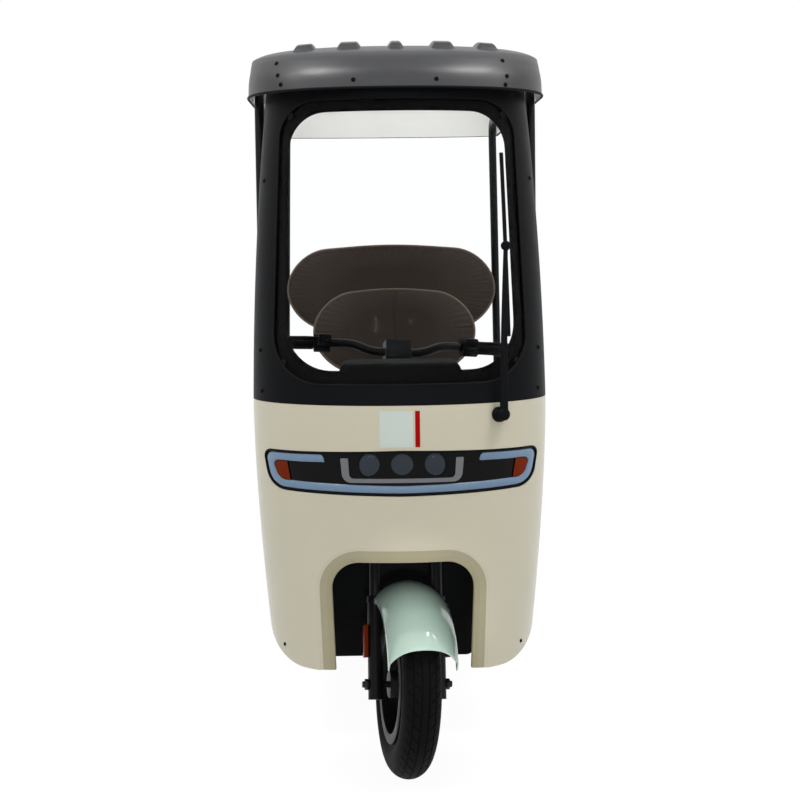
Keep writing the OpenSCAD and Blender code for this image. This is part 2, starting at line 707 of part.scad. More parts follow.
// Driver's seat: box, cushion, back pad and the two flat bars that hold it.
seat_front = front_axle_y + wheelbase * seat_share;
seat_rear = seat_front + 300;
seat_half = 190;
box_r = 30;
cushion_r = 70;
module driver_seat_box() color("#2a2b2f")
    translate([0, (seat_front + seat_rear) / 2, floor_z + seat_gap])
        linear_extrude(seat_box_z - floor_z)
            round_rect(2 * seat_half, seat_rear - seat_front, box_r);
cushion_y0 = seat_front - 40;
cushion_y1 = seat_rear - 10;
module driver_cushion() color("#3a302a")
    translate([0, (cushion_y0 + cushion_y1) / 2, seat_box_z + 2 * seat_gap])
        linear_extrude(cushion_t)
            round_rect(driver_cushion_w, cushion_y1 - cushion_y0, cushion_r);
driver_back_z = 1002;
driver_back_h = 246;
driver_back_r = 112;
pad_lean = 8;
driver_back_y = seat_rear + 12;
module driver_back() color("#3a302a")
    translate([0, driver_back_y, driver_back_z]) rotate([90 - pad_lean, 0, 0])
        linear_extrude(pad_t, center = true) round_rect(driver_back_w, driver_back_h, driver_back_r);
strap_w = 40;
strap_t = 8;
strap_x = 120;
strap_low = seat_box_z - 140;
strap_bend = seat_box_z + 40;
strap_knee = driver_back_z - driver_back_h / 2 - 10;
strap_end = driver_back_z + 70;
strap_front = seat_rear + seat_gap;
function strap_y(z) = driver_back_y + (pad_t / 2 + seat_gap) / cos(pad_lean)
    + (z - driver_back_z) * tan(pad_lean);
module driver_back_straps() color("#161618") both_sides()
    across(strap_x - strap_w / 2, strap_x + strap_w / 2) polygon([
        [strap_front, strap_low], [strap_front, strap_bend], [strap_y(strap_knee), strap_knee],
        [strap_y(strap_end), strap_end], [strap_y(strap_end) + strap_t, strap_end],
        [strap_y(strap_knee) + strap_t, strap_knee], [strap_front + strap_t, strap_bend],
        [strap_front + strap_t, strap_low]]);

// Bench: cushion on the rear body's deck, back pad on the bar.
bench_w = overall_w - 100;
bench_y0 = body_front_y - 12;
bench_y1 = body_front_y + 352;
module bench_cushion() color("#3a302a")
    translate([0, (bench_y0 + bench_y1) / 2, deck_z + seat_gap]) linear_extrude(cushion_t)
        round_rect(bench_w, bench_y1 - bench_y0, cushion_r);
bench_back_z = 1105;
bench_back_h = 286;
bench_back_r = 132;
bench_back_y = back_bar[1] - post_r - pad_t / 2 - seat_gap - 0.4;
module bench_back() color("#3a302a") translate([0, bench_back_y, bench_back_z])
    rotate([90, 0, 0]) linear_extrude(pad_t, center = true)
        round_rect(rear_back_w, bench_back_h, bench_back_r);

// Arm rests beside the bench: bent tubes standing on the deck.
arm_x = overall_w / 2 - 28;
arm_r = post_r - 1.5;
arm_z = deck_z + 178;
arm_bend = 40;
module arm_rests() color("#161618") both_sides() bent_rod([
    [arm_x, bench_y0 + 60, deck_z + seat_gap], [arm_x, bench_y0 + 60, arm_z - arm_bend],
    [arm_x, bench_y0 + 60 + arm_bend, arm_z], [arm_x, bench_y1 - 20 - arm_bend, arm_z],
    [arm_x, bench_y1 - 20, arm_z - arm_bend], [arm_x, bench_y1 - 20, deck_z + seat_gap]], arm_r);

// Rear body: hollow tub with a deck, open below, cut for the rear wheels.
body_half = overall_w / 2;
body_r = 60;
module body_plan(g) {
    translate([0, (body_front_y + body_rear_y) / 2])
        round_rect(2 * (body_half - g), body_rear_y - body_front_y - 2 * g, body_r - g);
}
module rear_body() color("#bdb7a5") difference() {
    translate([0, 0, body_low]) linear_extrude(deck_z - body_low) body_plan(0);
    translate([0, 0, body_low - 1])
        linear_extrude(deck_z - body_low + 1 - body_wall) body_plan(body_wall);
    translate([-overall_w, rear_axle_y, axle_z]) rotate([0, 90, 0])
        cylinder(r = well_r, h = 2 * overall_w);
}
liner_in = rear_track / 2 - tyre_w / 2 - 8;
liner_rise = asin((body_low - axle_z) / well_r);
module rear_well_liners() color("#161618") both_sides()
    translate([liner_in, rear_axle_y, axle_z]) rotate([0, 90, 0]) rotate([0, 0, 90 + liner_rise])
        rotate_extrude(angle = 180 - 2 * liner_rise) translate([well_r - 5, 0])
            square([5 - seat_gap, body_half - body_wall - seat_gap - liner_in]);

tail_x = body_half - 130;
tail_z = deck_z - 110;
tail_w = 90;
tail_h = 54;
module tail_lamps() color("#8c1410") both_sides()
    translate([tail_x, body_rear_y + seat_gap, tail_z]) rotate([-90, 0, 0])
        linear_extrude(18) round_rect(tail_w, tail_h, 14);

bumper_r = 17;
bumper_z = 400;
bumper_half = body_half - 100;
stay_x = 150;
stay_w = 36;
stay_h = 24;
module rear_bumper() color("#161618") {
    y = tail_y - bumper_r;
    rod([-bumper_half, y, bumper_z], [bumper_half, y, bumper_z], bumper_r);
    both_sides() translate([bumper_half, y, bumper_z]) sphere(bumper_r);
    both_sides() translate([stay_x, body_rear_y + seat_gap, bumper_z - stay_h / 2])
        cube([stay_w, y - body_rear_y, stay_h]);
}

// Tow eye: plate under the last member with one hole across it.
tow_r = 10;
tow_t = 12;
tow_out = 24;
tow_y = body_rear_y - 4;
tow_z = rail_top - cross_h - 28;
module tow_eye() color("#1c1c1e") difference() {
    union() {
        translate([-tow_t / 2, tow_y, tow_z]) rotate([0, 90, 0]) cylinder(r = tow_out, h = tow_t);
        translate([-tow_t / 2, cross_y[3] - cross_w / 2, tow_z - tow_r])
            cube([tow_t, tow_y - cross_y[3] + cross_w / 2, rail_top - cross_h - seat_gap - tow_z + tow_r]);
    }
    translate([-tow_t, tow_y, tow_z]) rotate([0, 90, 0]) cylinder(r = tow_r, h = 2 * tow_t);
}

battery_half = rail_x - 35;
battery_l = 210;
battery_h = 190;
module battery_pack() color("#34363b") translate([-battery_half, body_front_y + 20, rail_top + seat_gap])
    cube([2 * battery_half, battery_l, battery_h]);

// Rear axle: housing tube, motor and gear case, brake plates and wheel stubs.
axle_tube_r = 26;
stub_r = 14;
hub_half = 44;
plate_r = 66;
motor_r = 72;
motor_l = 170;
stub_end = 14;
plate_t = 6;
rear_hub_in = rear_track / 2 - hub_half;
module rear_axle() color("#2c2d30") translate([0, rear_axle_y, axle_z]) rotate([0, 90, 0]) {
    translate([0, 0, -rear_hub_in + 12]) cylinder(r = axle_tube_r, h = 2 * (rear_hub_in - 12));
    translate([0, 0, -motor_l * 0.4]) cylinder(r = motor_r, h = motor_l);
    for (s = [-1, 1]) {
        translate([0, 0, s * (rear_hub_in - 9) - plate_t / 2]) cylinder(r = plate_r, h = plate_t);
        translate([0, 0, s > 0 ? 0 : -rear_track / 2 - hub_half - stub_end])
            cylinder(r = stub_r, h = rear_track / 2 + hub_half + stub_end);
    }
}

// Leaf springs: stacked leaves on each side between the axle and the rail.
leaf_low = axle_z + axle_tube_r + seat_gap;
leaf_t = (rail_low - seat_gap - leaf_low) / 3;
leaf_half = [110, 170, 230];
leaf_w = 36;
// Overlap that makes one solid of the stacked leaves.
leaf_lap = 1;
module leaf_springs() color("#3a3b3e") both_sides() across(rail_x - leaf_w / 2, rail_x + leaf_w / 2)
    union() for (i = [0 : 2])
        translate([rear_axle_y - leaf_half[i], leaf_low + i * leaf_t])
            square([2 * leaf_half[i], leaf_t + (i < 2 ? leaf_lap : 0)]);

// Wheels, drawn with the axle along Z.
rim_half = 37;
flange_h = 11;
flange_t = 5;
well_t = 13;
disc_t = 16;
hub_r = 58;
hub_back_r = 32;
module tyre_ring() rotate_extrude($fn = 96) {
    translate([axle_z - tyre_w / 2, 0]) circle(tyre_w / 2);
    translate([bead_r + seat_gap, -rim_half])
        square([axle_z - tyre_w / 2 - bead_r - seat_gap, 2 * rim_half]);
}
module wheel_rim(bore) difference() {
    union() {
        rotate_extrude($fn = 96) {
            translate([bead_r - well_t, -rim_half - flange_t]) square([well_t, 2 * (rim_half + flange_t)]);
            for (s = [0, 1]) mirror([0, s]) translate([bead_r - well_t, rim_half + seat_gap])
                square([well_t + flange_h, flange_t]);
        }
        difference() {
            translate([0, 0, -disc_t / 2]) cylinder(r = bead_r - well_t + 1, h = disc_t);
            for (i = [0 : spoke_n - 1]) rotate([0, 0, 360 * i / spoke_n])
                translate([0, 0, -disc_t]) linear_extrude(2 * disc_t) window_2d();
        }
        cylinder(r = hub_r, h = hub_half);
        translate([0, 0, -hub_half]) cylinder(r = hub_back_r, h = hub_half);
    }
    translate([0, 0, -2 * hub_half]) cylinder(r = bore, h = 4 * hub_half);
}
// One opening between two spokes.
module window_2d() intersection() {
    difference() {
        circle(bead_r - 22);
        circle(66);
    }
    polygon([[spoke_w * 0.9, 0], [200 * cos(180 / spoke_n) * 2, spoke_w * 0.2],
        [200 * cos(360 / spoke_n) + 90, 200 * sin(360 / spoke_n) * 1.2],
        [spoke_w * 0.9 * cos(360 / spoke_n) + 12, spoke_w * 0.9]]);
}
module on_front_axle() steered() translate([0, -fork_offset, 0]) rotate([0, 90, 0]) children();
module on_rear_axle(side) translate([side * rear_track / 2, rear_axle_y, axle_z])
    rotate([0, side * -90, 0]) children();

module front_tyre() color("#131313") on_front_axle() tyre_ring();
module front_rim() color("#202124") on_front_axle() wheel_rim(axle_r + run_gap);
module rear_left_tyre() color("#131313") on_rear_axle(1) tyre_ring();
module rear_left_rim() color("#202124") on_rear_axle(1) wheel_rim(stub_r + run_gap);
module rear_right_tyre() color("#131313") on_rear_axle(-1) tyre_ring();
module rear_right_rim() color("#202124") on_rear_axle(-1) wheel_rim(stub_r + run_gap);

// Fork: crown with stem, tubes, sliders, axle, brake plate, reflectors.
leg_x = fork_span / 2;
module steering_stem() color("#26272a") steered() difference() {
    union() {
        translate([0, 0, crown_low]) linear_extrude(crown_high - crown_low) {
            polygon([[-leg_x, -fork_offset - 22], [leg_x, -fork_offset - 22], [leg_x, -fork_offset + 18],
                [28, 20], [-28, 20], [-leg_x, -fork_offset + 18]]);
            for (s = [-1, 1]) translate([s * leg_x, -fork_offset]) circle(22);
            circle(30);
        }
        translate([0, 0, crown_low]) cylinder(r = stem_r - run_gap, h = stem_high - crown_low);
    }
    for (s = [-1, 1]) translate([s * leg_x, -fork_offset, crown_low - 1])
        cylinder(r = tube_r + seat_gap, h = 60);
}
module fork_tubes() color("#3c3d40") steered() for (s = [-1, 1])
    translate([s * leg_x, -fork_offset, tube_low]) cylinder(r = tube_r, h = crown_high + 4 - tube_low);
module fork_sliders() color("#1a1a1c") steered() for (s = [-1, 1]) translate([s * leg_x, -fork_offset, 0])
    difference() {
        union() {
            translate([0, 0, slider_low]) cylinder(r = slider_r, h = slider_top - slider_low);
            translate([0, 0, slider_top - 14]) cylinder(r = slider_r + 2, h = 14);
        }
        translate([0, 0, tube_low - 2]) cylinder(r = tube_r + seat_gap, h = slider_top);
        translate([-40, 0, 0]) rotate([0, 90, 0]) cylinder(r = axle_r + seat_gap, h = 80);
    }
axle_half = leg_x + slider_r + 14;
module front_axle() color("#8d9094") on_front_axle() {
    translate([0, 0, -axle_half]) cylinder(r = axle_r, h = 2 * axle_half);
    for (s = [-1, 1]) translate([0, 0, s * (leg_x + slider_r + seat_gap + 4) - 4])
        cylinder(r = 13, h = 8, $fn = 6);
}
module front_brake_plate() color("#55585c") on_front_axle() difference() {
    union() {
        translate([0, 0, hub_half + 5.2]) cylinder(r = 64, h = 5);
        translate([46, -8, hub_half + 5.2]) cube([60, 16, 5]);
    }
    cylinder(r = axle_r + seat_gap, h = 90);
}
module fork_reflectors() color("#b4470f") steered() for (s = [-1, 1])
    translate([s * (leg_x + slider_r + seat_gap + 5) - 5, -fork_offset - 12, 62]) cube([10, 24, 76]);

module guard_section(g) intersection() {
    translate([guard_r - guard_half - 14, 0]) circle(guard_half + 14 - g);
    translate([guard_r - guard_drop, -guard_half + g]) square([guard_drop + 1, 2 * (guard_half - g)]);
}
guard_t = 4;
module front_mudguard() color("#a9c0b4") difference() {
    on_front_axle() rotate([0, 0, 270 + rake - guard_lip - guard_sweep])
        rotate_extrude(angle = guard_sweep) difference() {
            guard_section(0);
            guard_section(guard_t);
            translate([guard_r - guard_drop - 1, -guard_half + guard_t])
                square([2, 2 * (guard_half - guard_t)]);
        }
    steered() for (s = [-1, 1]) translate([s * leg_x, -fork_offset, slider_low])
        cylinder(r = slider_r + seat_gap, h = 500);
    steered() for (s = [-1, 1]) translate([s * leg_x, -fork_offset, slider_top - 15])
        cylinder(r = slider_r + 2 + seat_gap, h = 300);
}

// Handlebar: clamp on the stem, bent bar, grips, control housings and levers.
bar_path = [[bar_half, bar_sweep, bar_end], [112, 0, bar_end - 7], [66, 0, bar_mid],
    [-66, 0, bar_mid], [-112, 0, bar_end - 7], [-bar_half, bar_sweep, bar_end]];
grip_l = 126;
grip_dir = unit(bar_path[0] - bar_path[1]);
function on_grip(d) = bar_path[0] - grip_dir * (grip_l - d);
house_l = 42;
house_r = 23;
house_mid = -24;
lever_r = 5;
module handlebar() color("#232326") steered() bent_rod(bar_path, bar_r);
module bar_clamp() color("#26272a") steered() difference() {
    translate([-32, -24, stem_high + seat_gap]) cube([64, 48, 46]);
    rod(bar_path[2], bar_path[3], bar_r + seat_gap);
}
module hand_grips() color("#101011") steered() both_sides() difference() {
    rod(on_grip(0), on_grip(grip_l + 4), grip_r);
    rod(on_grip(-1), on_grip(grip_l + seat_gap), bar_r + seat_gap);
}
module control_housings() color("#17181a") steered() both_sides() {
    difference() {
        union() {
            rod(on_grip(-house_l - 2), on_grip(-2), house_r);
            translate(on_grip(house_mid) + [-15, -46, -12]) cube([30, 40, 22]);
        }
        rod(on_grip(-house_l - 20), on_grip(0), bar_r + seat_gap);
    }
    bent_rod([on_grip(house_mid + 6) + [0, -38, 0], on_grip(28) + [0, -46, 0],
        on_grip(grip_l - 30) + [0, -40, 0]], lever_r);
}

frame_rails();
frame_members();
steering_neck();
floor_pan();
side_sills();
front_cowl();
headlamp_panel();
light_strip();
turn_signals();
lamp_lenses();
lamp_trim();
windscreen_surround();
windscreen_glass();
windscreen_wiper();
roof_panel();
front_posts();
roof_rails();
rear_posts();
back_bar_tube();
leg_shield();
column_shroud();
wheel_well_plate();
dash_shelf();
instrument_hood();
driver_seat_box();
driver_cushion();
driver_back();
driver_back_straps();
bench_cushion();
bench_back();
arm_rests();
rear_body();
rear_well_liners();
tail_lamps();
rear_bumper();
tow_eye();
battery_pack();
rear_axle();
leaf_springs();
front_tyre();
front_rim();
rear_left_tyre();
rear_left_rim();
rear_right_tyre();
rear_right_rim();
steering_stem();
fork_tubes();
fork_sliders();
front_axle();
front_brake_plate();
fork_reflectors();
front_mudguard();
handlebar();
bar_clamp();
hand_grips();
control_housings();
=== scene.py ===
"""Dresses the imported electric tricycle: moulded shells, lamps, glass, seats, tubes, wheels and studio.

Metres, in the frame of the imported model: +Z is up, the front looks along -Y, +X is the left side.
"""

import logging
import math
from contextlib import contextmanager
from dataclasses import dataclass
from enum import Enum
from typing import Callable, Iterator, Sequence

import bpy
from mathutils import Matrix, Vector


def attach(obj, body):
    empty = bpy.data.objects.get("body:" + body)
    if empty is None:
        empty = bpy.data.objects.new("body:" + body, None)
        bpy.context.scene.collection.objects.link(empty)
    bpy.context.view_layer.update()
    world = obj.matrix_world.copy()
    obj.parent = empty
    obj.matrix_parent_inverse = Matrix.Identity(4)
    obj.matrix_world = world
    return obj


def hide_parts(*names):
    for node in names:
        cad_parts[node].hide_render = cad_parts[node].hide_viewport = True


LOG = logging.getLogger("tricycle")
Flat = tuple[float, float]
Triple = tuple[float, float, float]
Place = Callable[[float, float], Sequence[float]]
MERGE = 1e-6
# y where the front-view cutting tools begin, and where they end in each skin
CUT_FRONT, COWL_CUT, CORNER_CUT, SCREEN_CUT = -1.1, -0.72, -0.66, -0.56

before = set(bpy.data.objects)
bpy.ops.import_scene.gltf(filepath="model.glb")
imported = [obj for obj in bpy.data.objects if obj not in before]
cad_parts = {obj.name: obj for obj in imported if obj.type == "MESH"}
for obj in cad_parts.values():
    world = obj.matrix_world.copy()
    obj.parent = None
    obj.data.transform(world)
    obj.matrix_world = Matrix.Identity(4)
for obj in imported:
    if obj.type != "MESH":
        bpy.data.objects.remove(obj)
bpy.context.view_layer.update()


class Body(Enum):
    """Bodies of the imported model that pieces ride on."""

    CHASSIS = "chassis"
    STEERING = "steering"
    FRONT_WHEEL = "front_wheel"
    REAR_LEFT = "rear_left_wheel"
    REAR_RIGHT = "rear_right_wheel"


class Grain(Enum):
    """Fine relief that a finish carries."""

    PEEL = "orange peel of sprayed paint"
    PEBBLE = "moulded grain of plastic"
    HIDE = "creases of leatherette"
    BRUSHED = "lines along X of brushed metal"
    CAST = "uneven skin of cast or rolled metal"
    FACETS = "prisms inside a lamp lens"


def linear(channel: int) -> float:
    """Linear value of one 8-bit display channel."""
    value = channel / 255
    return value / 12.92 if value <= 0.04045 else ((value + 0.055) / 1.055) ** 2.4


@dataclass(frozen=True)
class Finish:
    """One surface finish, made as a node material on object coordinates."""

    name: str
    slot: str
    colour: tuple[int, int, int]
    roughness: float = 0.45
    metallic: float = 0.0
    coat: float = 0.0
    grain: Grain = Grain.PEBBLE
    cells: float = 900.0
    relief: float = 0.12
    mottle: float = 0.06
    sheen: float = 0.0
    specular: float = 0.5
    clear: float = 0.0
    ior: float = 1.5

    def shade(self, factor: float) -> tuple[float, float, float, float]:
        """Linear colour of the finish, times a factor."""
        return (*(min(1.0, linear(c) * factor) for c in self.colour), 1.0)

    def relief_height(self, nodes: bpy.types.Nodes, links: bpy.types.NodeLinks,
                      where: bpy.types.NodeSocket) -> bpy.types.NodeSocket:
        """Adds the texture whose height gives the grain.

        Args:
            nodes: Nodes of the material.
            links: Links of the material.
            where: Object coordinates.

        Returns:
            The height socket.
        """
        if self.grain in (Grain.PEBBLE, Grain.HIDE, Grain.FACETS):
            cells = nodes.new("ShaderNodeTexVoronoi")
            cells.feature = "SMOOTH_F1" if self.grain is Grain.PEBBLE else "DISTANCE_TO_EDGE"
            if self.grain is Grain.FACETS:
                cells.feature = "F1"
                cells.distance = "CHEBYCHEV"
                cells.inputs["Randomness"].default_value = 0.0
            cells.inputs["Scale"].default_value = self.cells
            links.new(where, cells.inputs["Vector"])
            return cells.outputs["Distance"]
        if self.grain is Grain.BRUSHED:
            stretch = nodes.new("ShaderNodeMapping")
            stretch.inputs["Scale"].default_value = (0.03, 1.0, 1.0)
            links.new(where, stretch.inputs["Vector"])
            where = stretch.outputs["Vector"]
        return self.noise(nodes, links, where, self.cells, 2.0 if self.grain is Grain.PEEL else 6.0)

    @staticmethod
    def noise(nodes: bpy.types.Nodes, links: bpy.types.NodeLinks, where: bpy.types.NodeSocket,
              scale: float, detail: float) -> bpy.types.NodeSocket:
        """Adds a noise texture and returns its value."""
        texture = nodes.new("ShaderNodeTexNoise")
        texture.inputs["Scale"].default_value = scale
        texture.inputs["Detail"].default_value = detail
        links.new(where, texture.inputs["Vector"])
        return texture.outputs["Fac"]

    def material(self) -> bpy.types.Material:
        """Returns the finish's material, made on first use."""
        title = self.name + "_finish"
        made = bpy.data.materials.get(title)
        if made:
            return made
        made = bpy.data.materials.new(title)
        made.use_nodes = True
        nodes, links = made.node_tree.nodes, made.node_tree.links
        shader = nodes["Principled BSDF"]
        where = nodes.new("ShaderNodeTexCoord").outputs["Object"]
        tint = nodes.new("ShaderNodeMix")
        tint.data_type = "RGBA"
        tint.inputs["A"].default_value = self.shade(1 - self.mottle)
        tint.inputs["B"].default_value = self.shade(1 + self.mottle)
        links.new(self.noise(nodes, links, where, 7.0, 5.0), tint.inputs["Factor"])
        links.new(tint.outputs["Result"], shader.inputs["Base Color"])
        if self.clear < 1:
            spread = nodes.new("ShaderNodeMapRange")
            spread.inputs["To Min"].default_value = self.roughness * 0.85
            spread.inputs["To Max"].default_value = self.roughness * 1.15
            links.new(self.noise(nodes, links, where, 26.0, 3.0), spread.inputs["Value"])
            links.new(spread.outputs["Result"], shader.inputs["Roughness"])
        else:
            shader.inputs["Roughness"].default_value = self.roughness
        if self.relief:
            bump = nodes.new("ShaderNodeBump")
            bump.inputs["Strength"].default_value = self.relief
            bump.inputs["Distance"].default_value = 0.6 / self.cells
            links.new(self.relief_height(nodes, links, where), bump.inputs["Height"])
            links.new(bump.outputs["Normal"], shader.inputs["Normal"])
        constants = {"Metallic": self.metallic, "Specular IOR Level": self.specular, "Coat Weight": self.coat,
                     "Coat Roughness": 0.04, "Sheen Weight": self.sheen,
                     "Transmission Weight": self.clear, "IOR": self.ior}
        for socket, value in constants.items():
            shader.inputs[socket].default_value = value
        return made


CREAM = Finish("cream_shell", "cream_body", (184, 179, 159), 0.3, coat=0.25, grain=Grain.PEEL,
               cells=260, relief=0.05, mottle=0.02, specular=0.3)
# Darker creams round the wheel opening are painted shade of the recess: the slope takes a half shade, the
# band the full shade.
ARCH_PAINTED_SHADE = Finish("arch_painted_shade", "cream_body", (148, 142, 115), 0.4, grain=Grain.PEEL,
              cells=260, relief=0.05, mottle=0.02, specular=0.3)
ARCH_EDGE_PAINTED_SHADE = Finish("arch_edge_painted_shade", "cream_body", (152, 146, 120), 0.35, coat=0.1, grain=Grain.PEEL,
                   cells=260, relief=0.05, mottle=0.02, specular=0.3)
MINT = Finish("mint_shell", "mint_body", (166, 189, 176), 0.14, coat=0.6, grain=Grain.PEEL,
              cells=240, relief=0.04, mottle=0.03)
MINT_FILM = Finish("mint_film", "mint_body", (184, 193, 186), 0.3, grain=Grain.PEEL, cells=300, relief=0.03,
                   specular=0.2)
RED_FILM = Finish("red_film", "red_lens", (150, 6, 7), 0.3, grain=Grain.PEEL, cells=300, relief=0.03,
                  specular=0.05)
PIANO = Finish("gloss_black_panel", "black_panel", (6, 6, 8), 0.08, grain=Grain.PEEL,
               cells=120, relief=0.03, specular=0.1)
SATIN = Finish("satin_black_moulding", "black_plastic", (15, 16, 18), 0.42, cells=800, relief=0.05,
               specular=0.03)
ROOFING = Finish("roof_moulding", "black_plastic", (22, 23, 26), 0.4, cells=900, relief=0.05, specular=0.55)
LINING = Finish("roof_lining", "roof_lining", (236, 236, 233), 0.8, cells=700, relief=0.2)
CABIN = Finish("cabin_moulding", "black_plastic", (14, 15, 16), 0.6, cells=650, relief=0.2, mottle=0.1,
               specular=0.02)
# Underseal black of the wheel liners, darkened past their own black as painted shade of the wheel housing; on
# the cowl's inner face it is painted shade over the cream moulding.
UNDERSEAL_AND_SHADE = Finish("underseal_and_painted_shade", "black_plastic", (7, 7, 8), 0.8, grain=Grain.CAST, cells=300, relief=0.3,
                   specular=0.04)
TUBING = Finish("powder_coated_tube", "black_steel", (13, 13, 15), 0.36, grain=Grain.PEEL, cells=900,
                relief=0.2, specular=0.12)
CASTING = Finish("dark_alloy", "dark_alloy", (32, 33, 35), 0.45, metallic=0.7, grain=Grain.CAST,
                 cells=420, relief=0.22, mottle=0.1, specular=0.2)
DARK_STEEL = Finish("dark_steel", "dark_alloy", (44, 44, 46), 0.34, metallic=0.7, grain=Grain.CAST,
                    cells=300, relief=0.06, mottle=0.1, specular=0.2)
RIM = Finish("painted_rim", "dark_alloy", (19, 19, 21), 0.4, grain=Grain.PEEL, cells=420, relief=0.1,
             specular=0.12)
SILVER = Finish("brushed_silver", "silver_trim", (106, 108, 111), 0.3, metallic=0.75, grain=Grain.BRUSHED,
                cells=2600, relief=0.12, mottle=0.05)
LEATHER = Finish("brown_leatherette", "brown_leather", (46, 38, 32), 0.46, grain=Grain.HIDE, cells=420,
                 relief=0.5, mottle=0.16, sheen=0.04, specular=0.12)
PIPING = Finish("piping_cord", "brown_leather", (92, 80, 70), 0.5, grain=Grain.HIDE, cells=700, relief=0.3,
                specular=0.15)
SOFT_RUBBER = Finish("soft_rubber", "rubber", (10, 10, 11), 0.62, cells=800, relief=0.3, specular=0.08)
TYRE = Finish("tyre_rubber", "tyre", (11, 11, 11), 0.66, grain=Grain.CAST, cells=700, relief=0.35,
              mottle=0.18, specular=0.06)
PRINT = Finish("printed_border", "rubber", (10, 10, 11), 0.6, grain=Grain.PEEL, cells=200, relief=0.02,
               specular=0.03)
GLASS = Finish("clear_glass", "screen_glass", (254, 255, 255), 0.0, grain=Grain.PEEL, relief=0.0,
               mottle=0.0, clear=1.0, ior=1.06)
LENS = Finish("lens_glass", "lens_glass", (38, 45, 53), 0.05, coat=0.1, grain=Grain.PEEL, cells=60,
              relief=0.02, specular=0.15)
STRIP = Finish("light_guide", "strip_lens", (100, 124, 148), 0.16, coat=0.2, grain=Grain.FACETS,
               cells=170, relief=0.25, mottle=0.1, specular=0.3)
AMBER = Finish("amber_lens", "amber_lens", (104, 33, 4), 0.12, grain=Grain.FACETS, cells=190,
               relief=0.3, mottle=0.12, specular=0.03)
RED = Finish("red_lens", "red_lens", (126, 12, 12), 0.14, coat=0.3, grain=Grain.FACETS, cells=170,
             relief=0.5, mottle=0.1, specular=0.2)
CASE = Finish("battery_case", "battery_case", (52, 54, 59), 0.5, cells=500, relief=0.3)
BRASS = Finish("brass_fitting", "bright_steel", (150, 118, 60), 0.3, metallic=1.0, grain=Grain.CAST,
               cells=400, relief=0.1)


class Outline:
    """Flat outlines and bent paths."""

    @staticmethod
    def rounded(corners: Sequence[Triple], steps: int = 8) -> list[Flat]:
        """Polygon with rounded corners.

        Args:
            corners: Corners as (x, z, radius).
            steps: Segments in each rounded corner.

        Returns:
            The outline's points, in order.
        """
        points: list[Flat] = []
        for i, (x, z, radius) in enumerate(corners):
            here = Vector((x, z))
            if radius <= 0:
                points.append((x, z))
                continue
            u = (Vector(corners[i - 1][:2]) - here).normalized()
            v = (Vector(corners[(i + 1) % len(corners)][:2]) - here).normalized()
            half = math.acos(max(-1.0, min(1.0, u.dot(v)))) / 2
            centre = here + (u + v).normalized() * (radius / math.sin(half))
            start = here + u * (radius / math.tan(half)) - centre
            turn = (math.pi - 2 * half) * (-1 if u.x * v.y - u.y * v.x > 0 else 1)
            for k in range(steps + 1):
                c, s = math.cos(turn * k / steps), math.sin(turn * k / steps)
                points.append((centre.x + start.x * c - start.y * s, centre.y + start.x * s + start.y * c))
        return points

    @staticmethod
    def even(half: Sequence[Triple], steps: int = 8) -> list[Flat]:
        """Rounded outline that is even about the middle, from the corners of its half at positive x."""
        return Outline.rounded([(-x, z, r) for x, z, r in half] + list(reversed(half)), steps)

    @staticmethod
    def counts(points: Sequence[Flat], step: float) -> list[int]:
        """Parts that each side of a closed outline is split into, for a longest part of step."""
        return [max(1, math.ceil(math.dist(p, points[(i + 1) % len(points)]) / step))
                for i, p in enumerate(points)]

    @staticmethod
    def split(points: Sequence[Flat], counts: Sequence[int]) -> list[Flat]:
        """Closed outline with each side split into the given number of parts."""
        result: list[Flat] = []
        for i, (a, n) in enumerate(zip(points, counts)):
            b = points[(i + 1) % len(points)]
            result += [(a[0] + (b[0] - a[0]) * k / n, a[1] + (b[1] - a[1]) * k / n) for k in range(n)]
        return result

    @staticmethod
    def bend(points: Sequence[Sequence[float]], radius: float, steps: int = 10) -> list[Vector]:
        """Path through points with each inner corner bent to an arc that starts radius away."""
        path = [Vector(points[0])]
        for a, b, c in zip(points, points[1:], points[2:]):
            a, b, c = Vector(a), Vector(b), Vector(c)
            start = b + (a - b).normalized() * min(radius, (a - b).length * 0.49)
            end = b + (c - b).normalized() * min(radius, (c - b).length * 0.49)
            for k in range(steps + 1):
                t = k / steps
                path.append(start * (1 - t) ** 2 + b * 2 * t * (1 - t) + end * t ** 2)
        return path + [Vector(points[-1])]


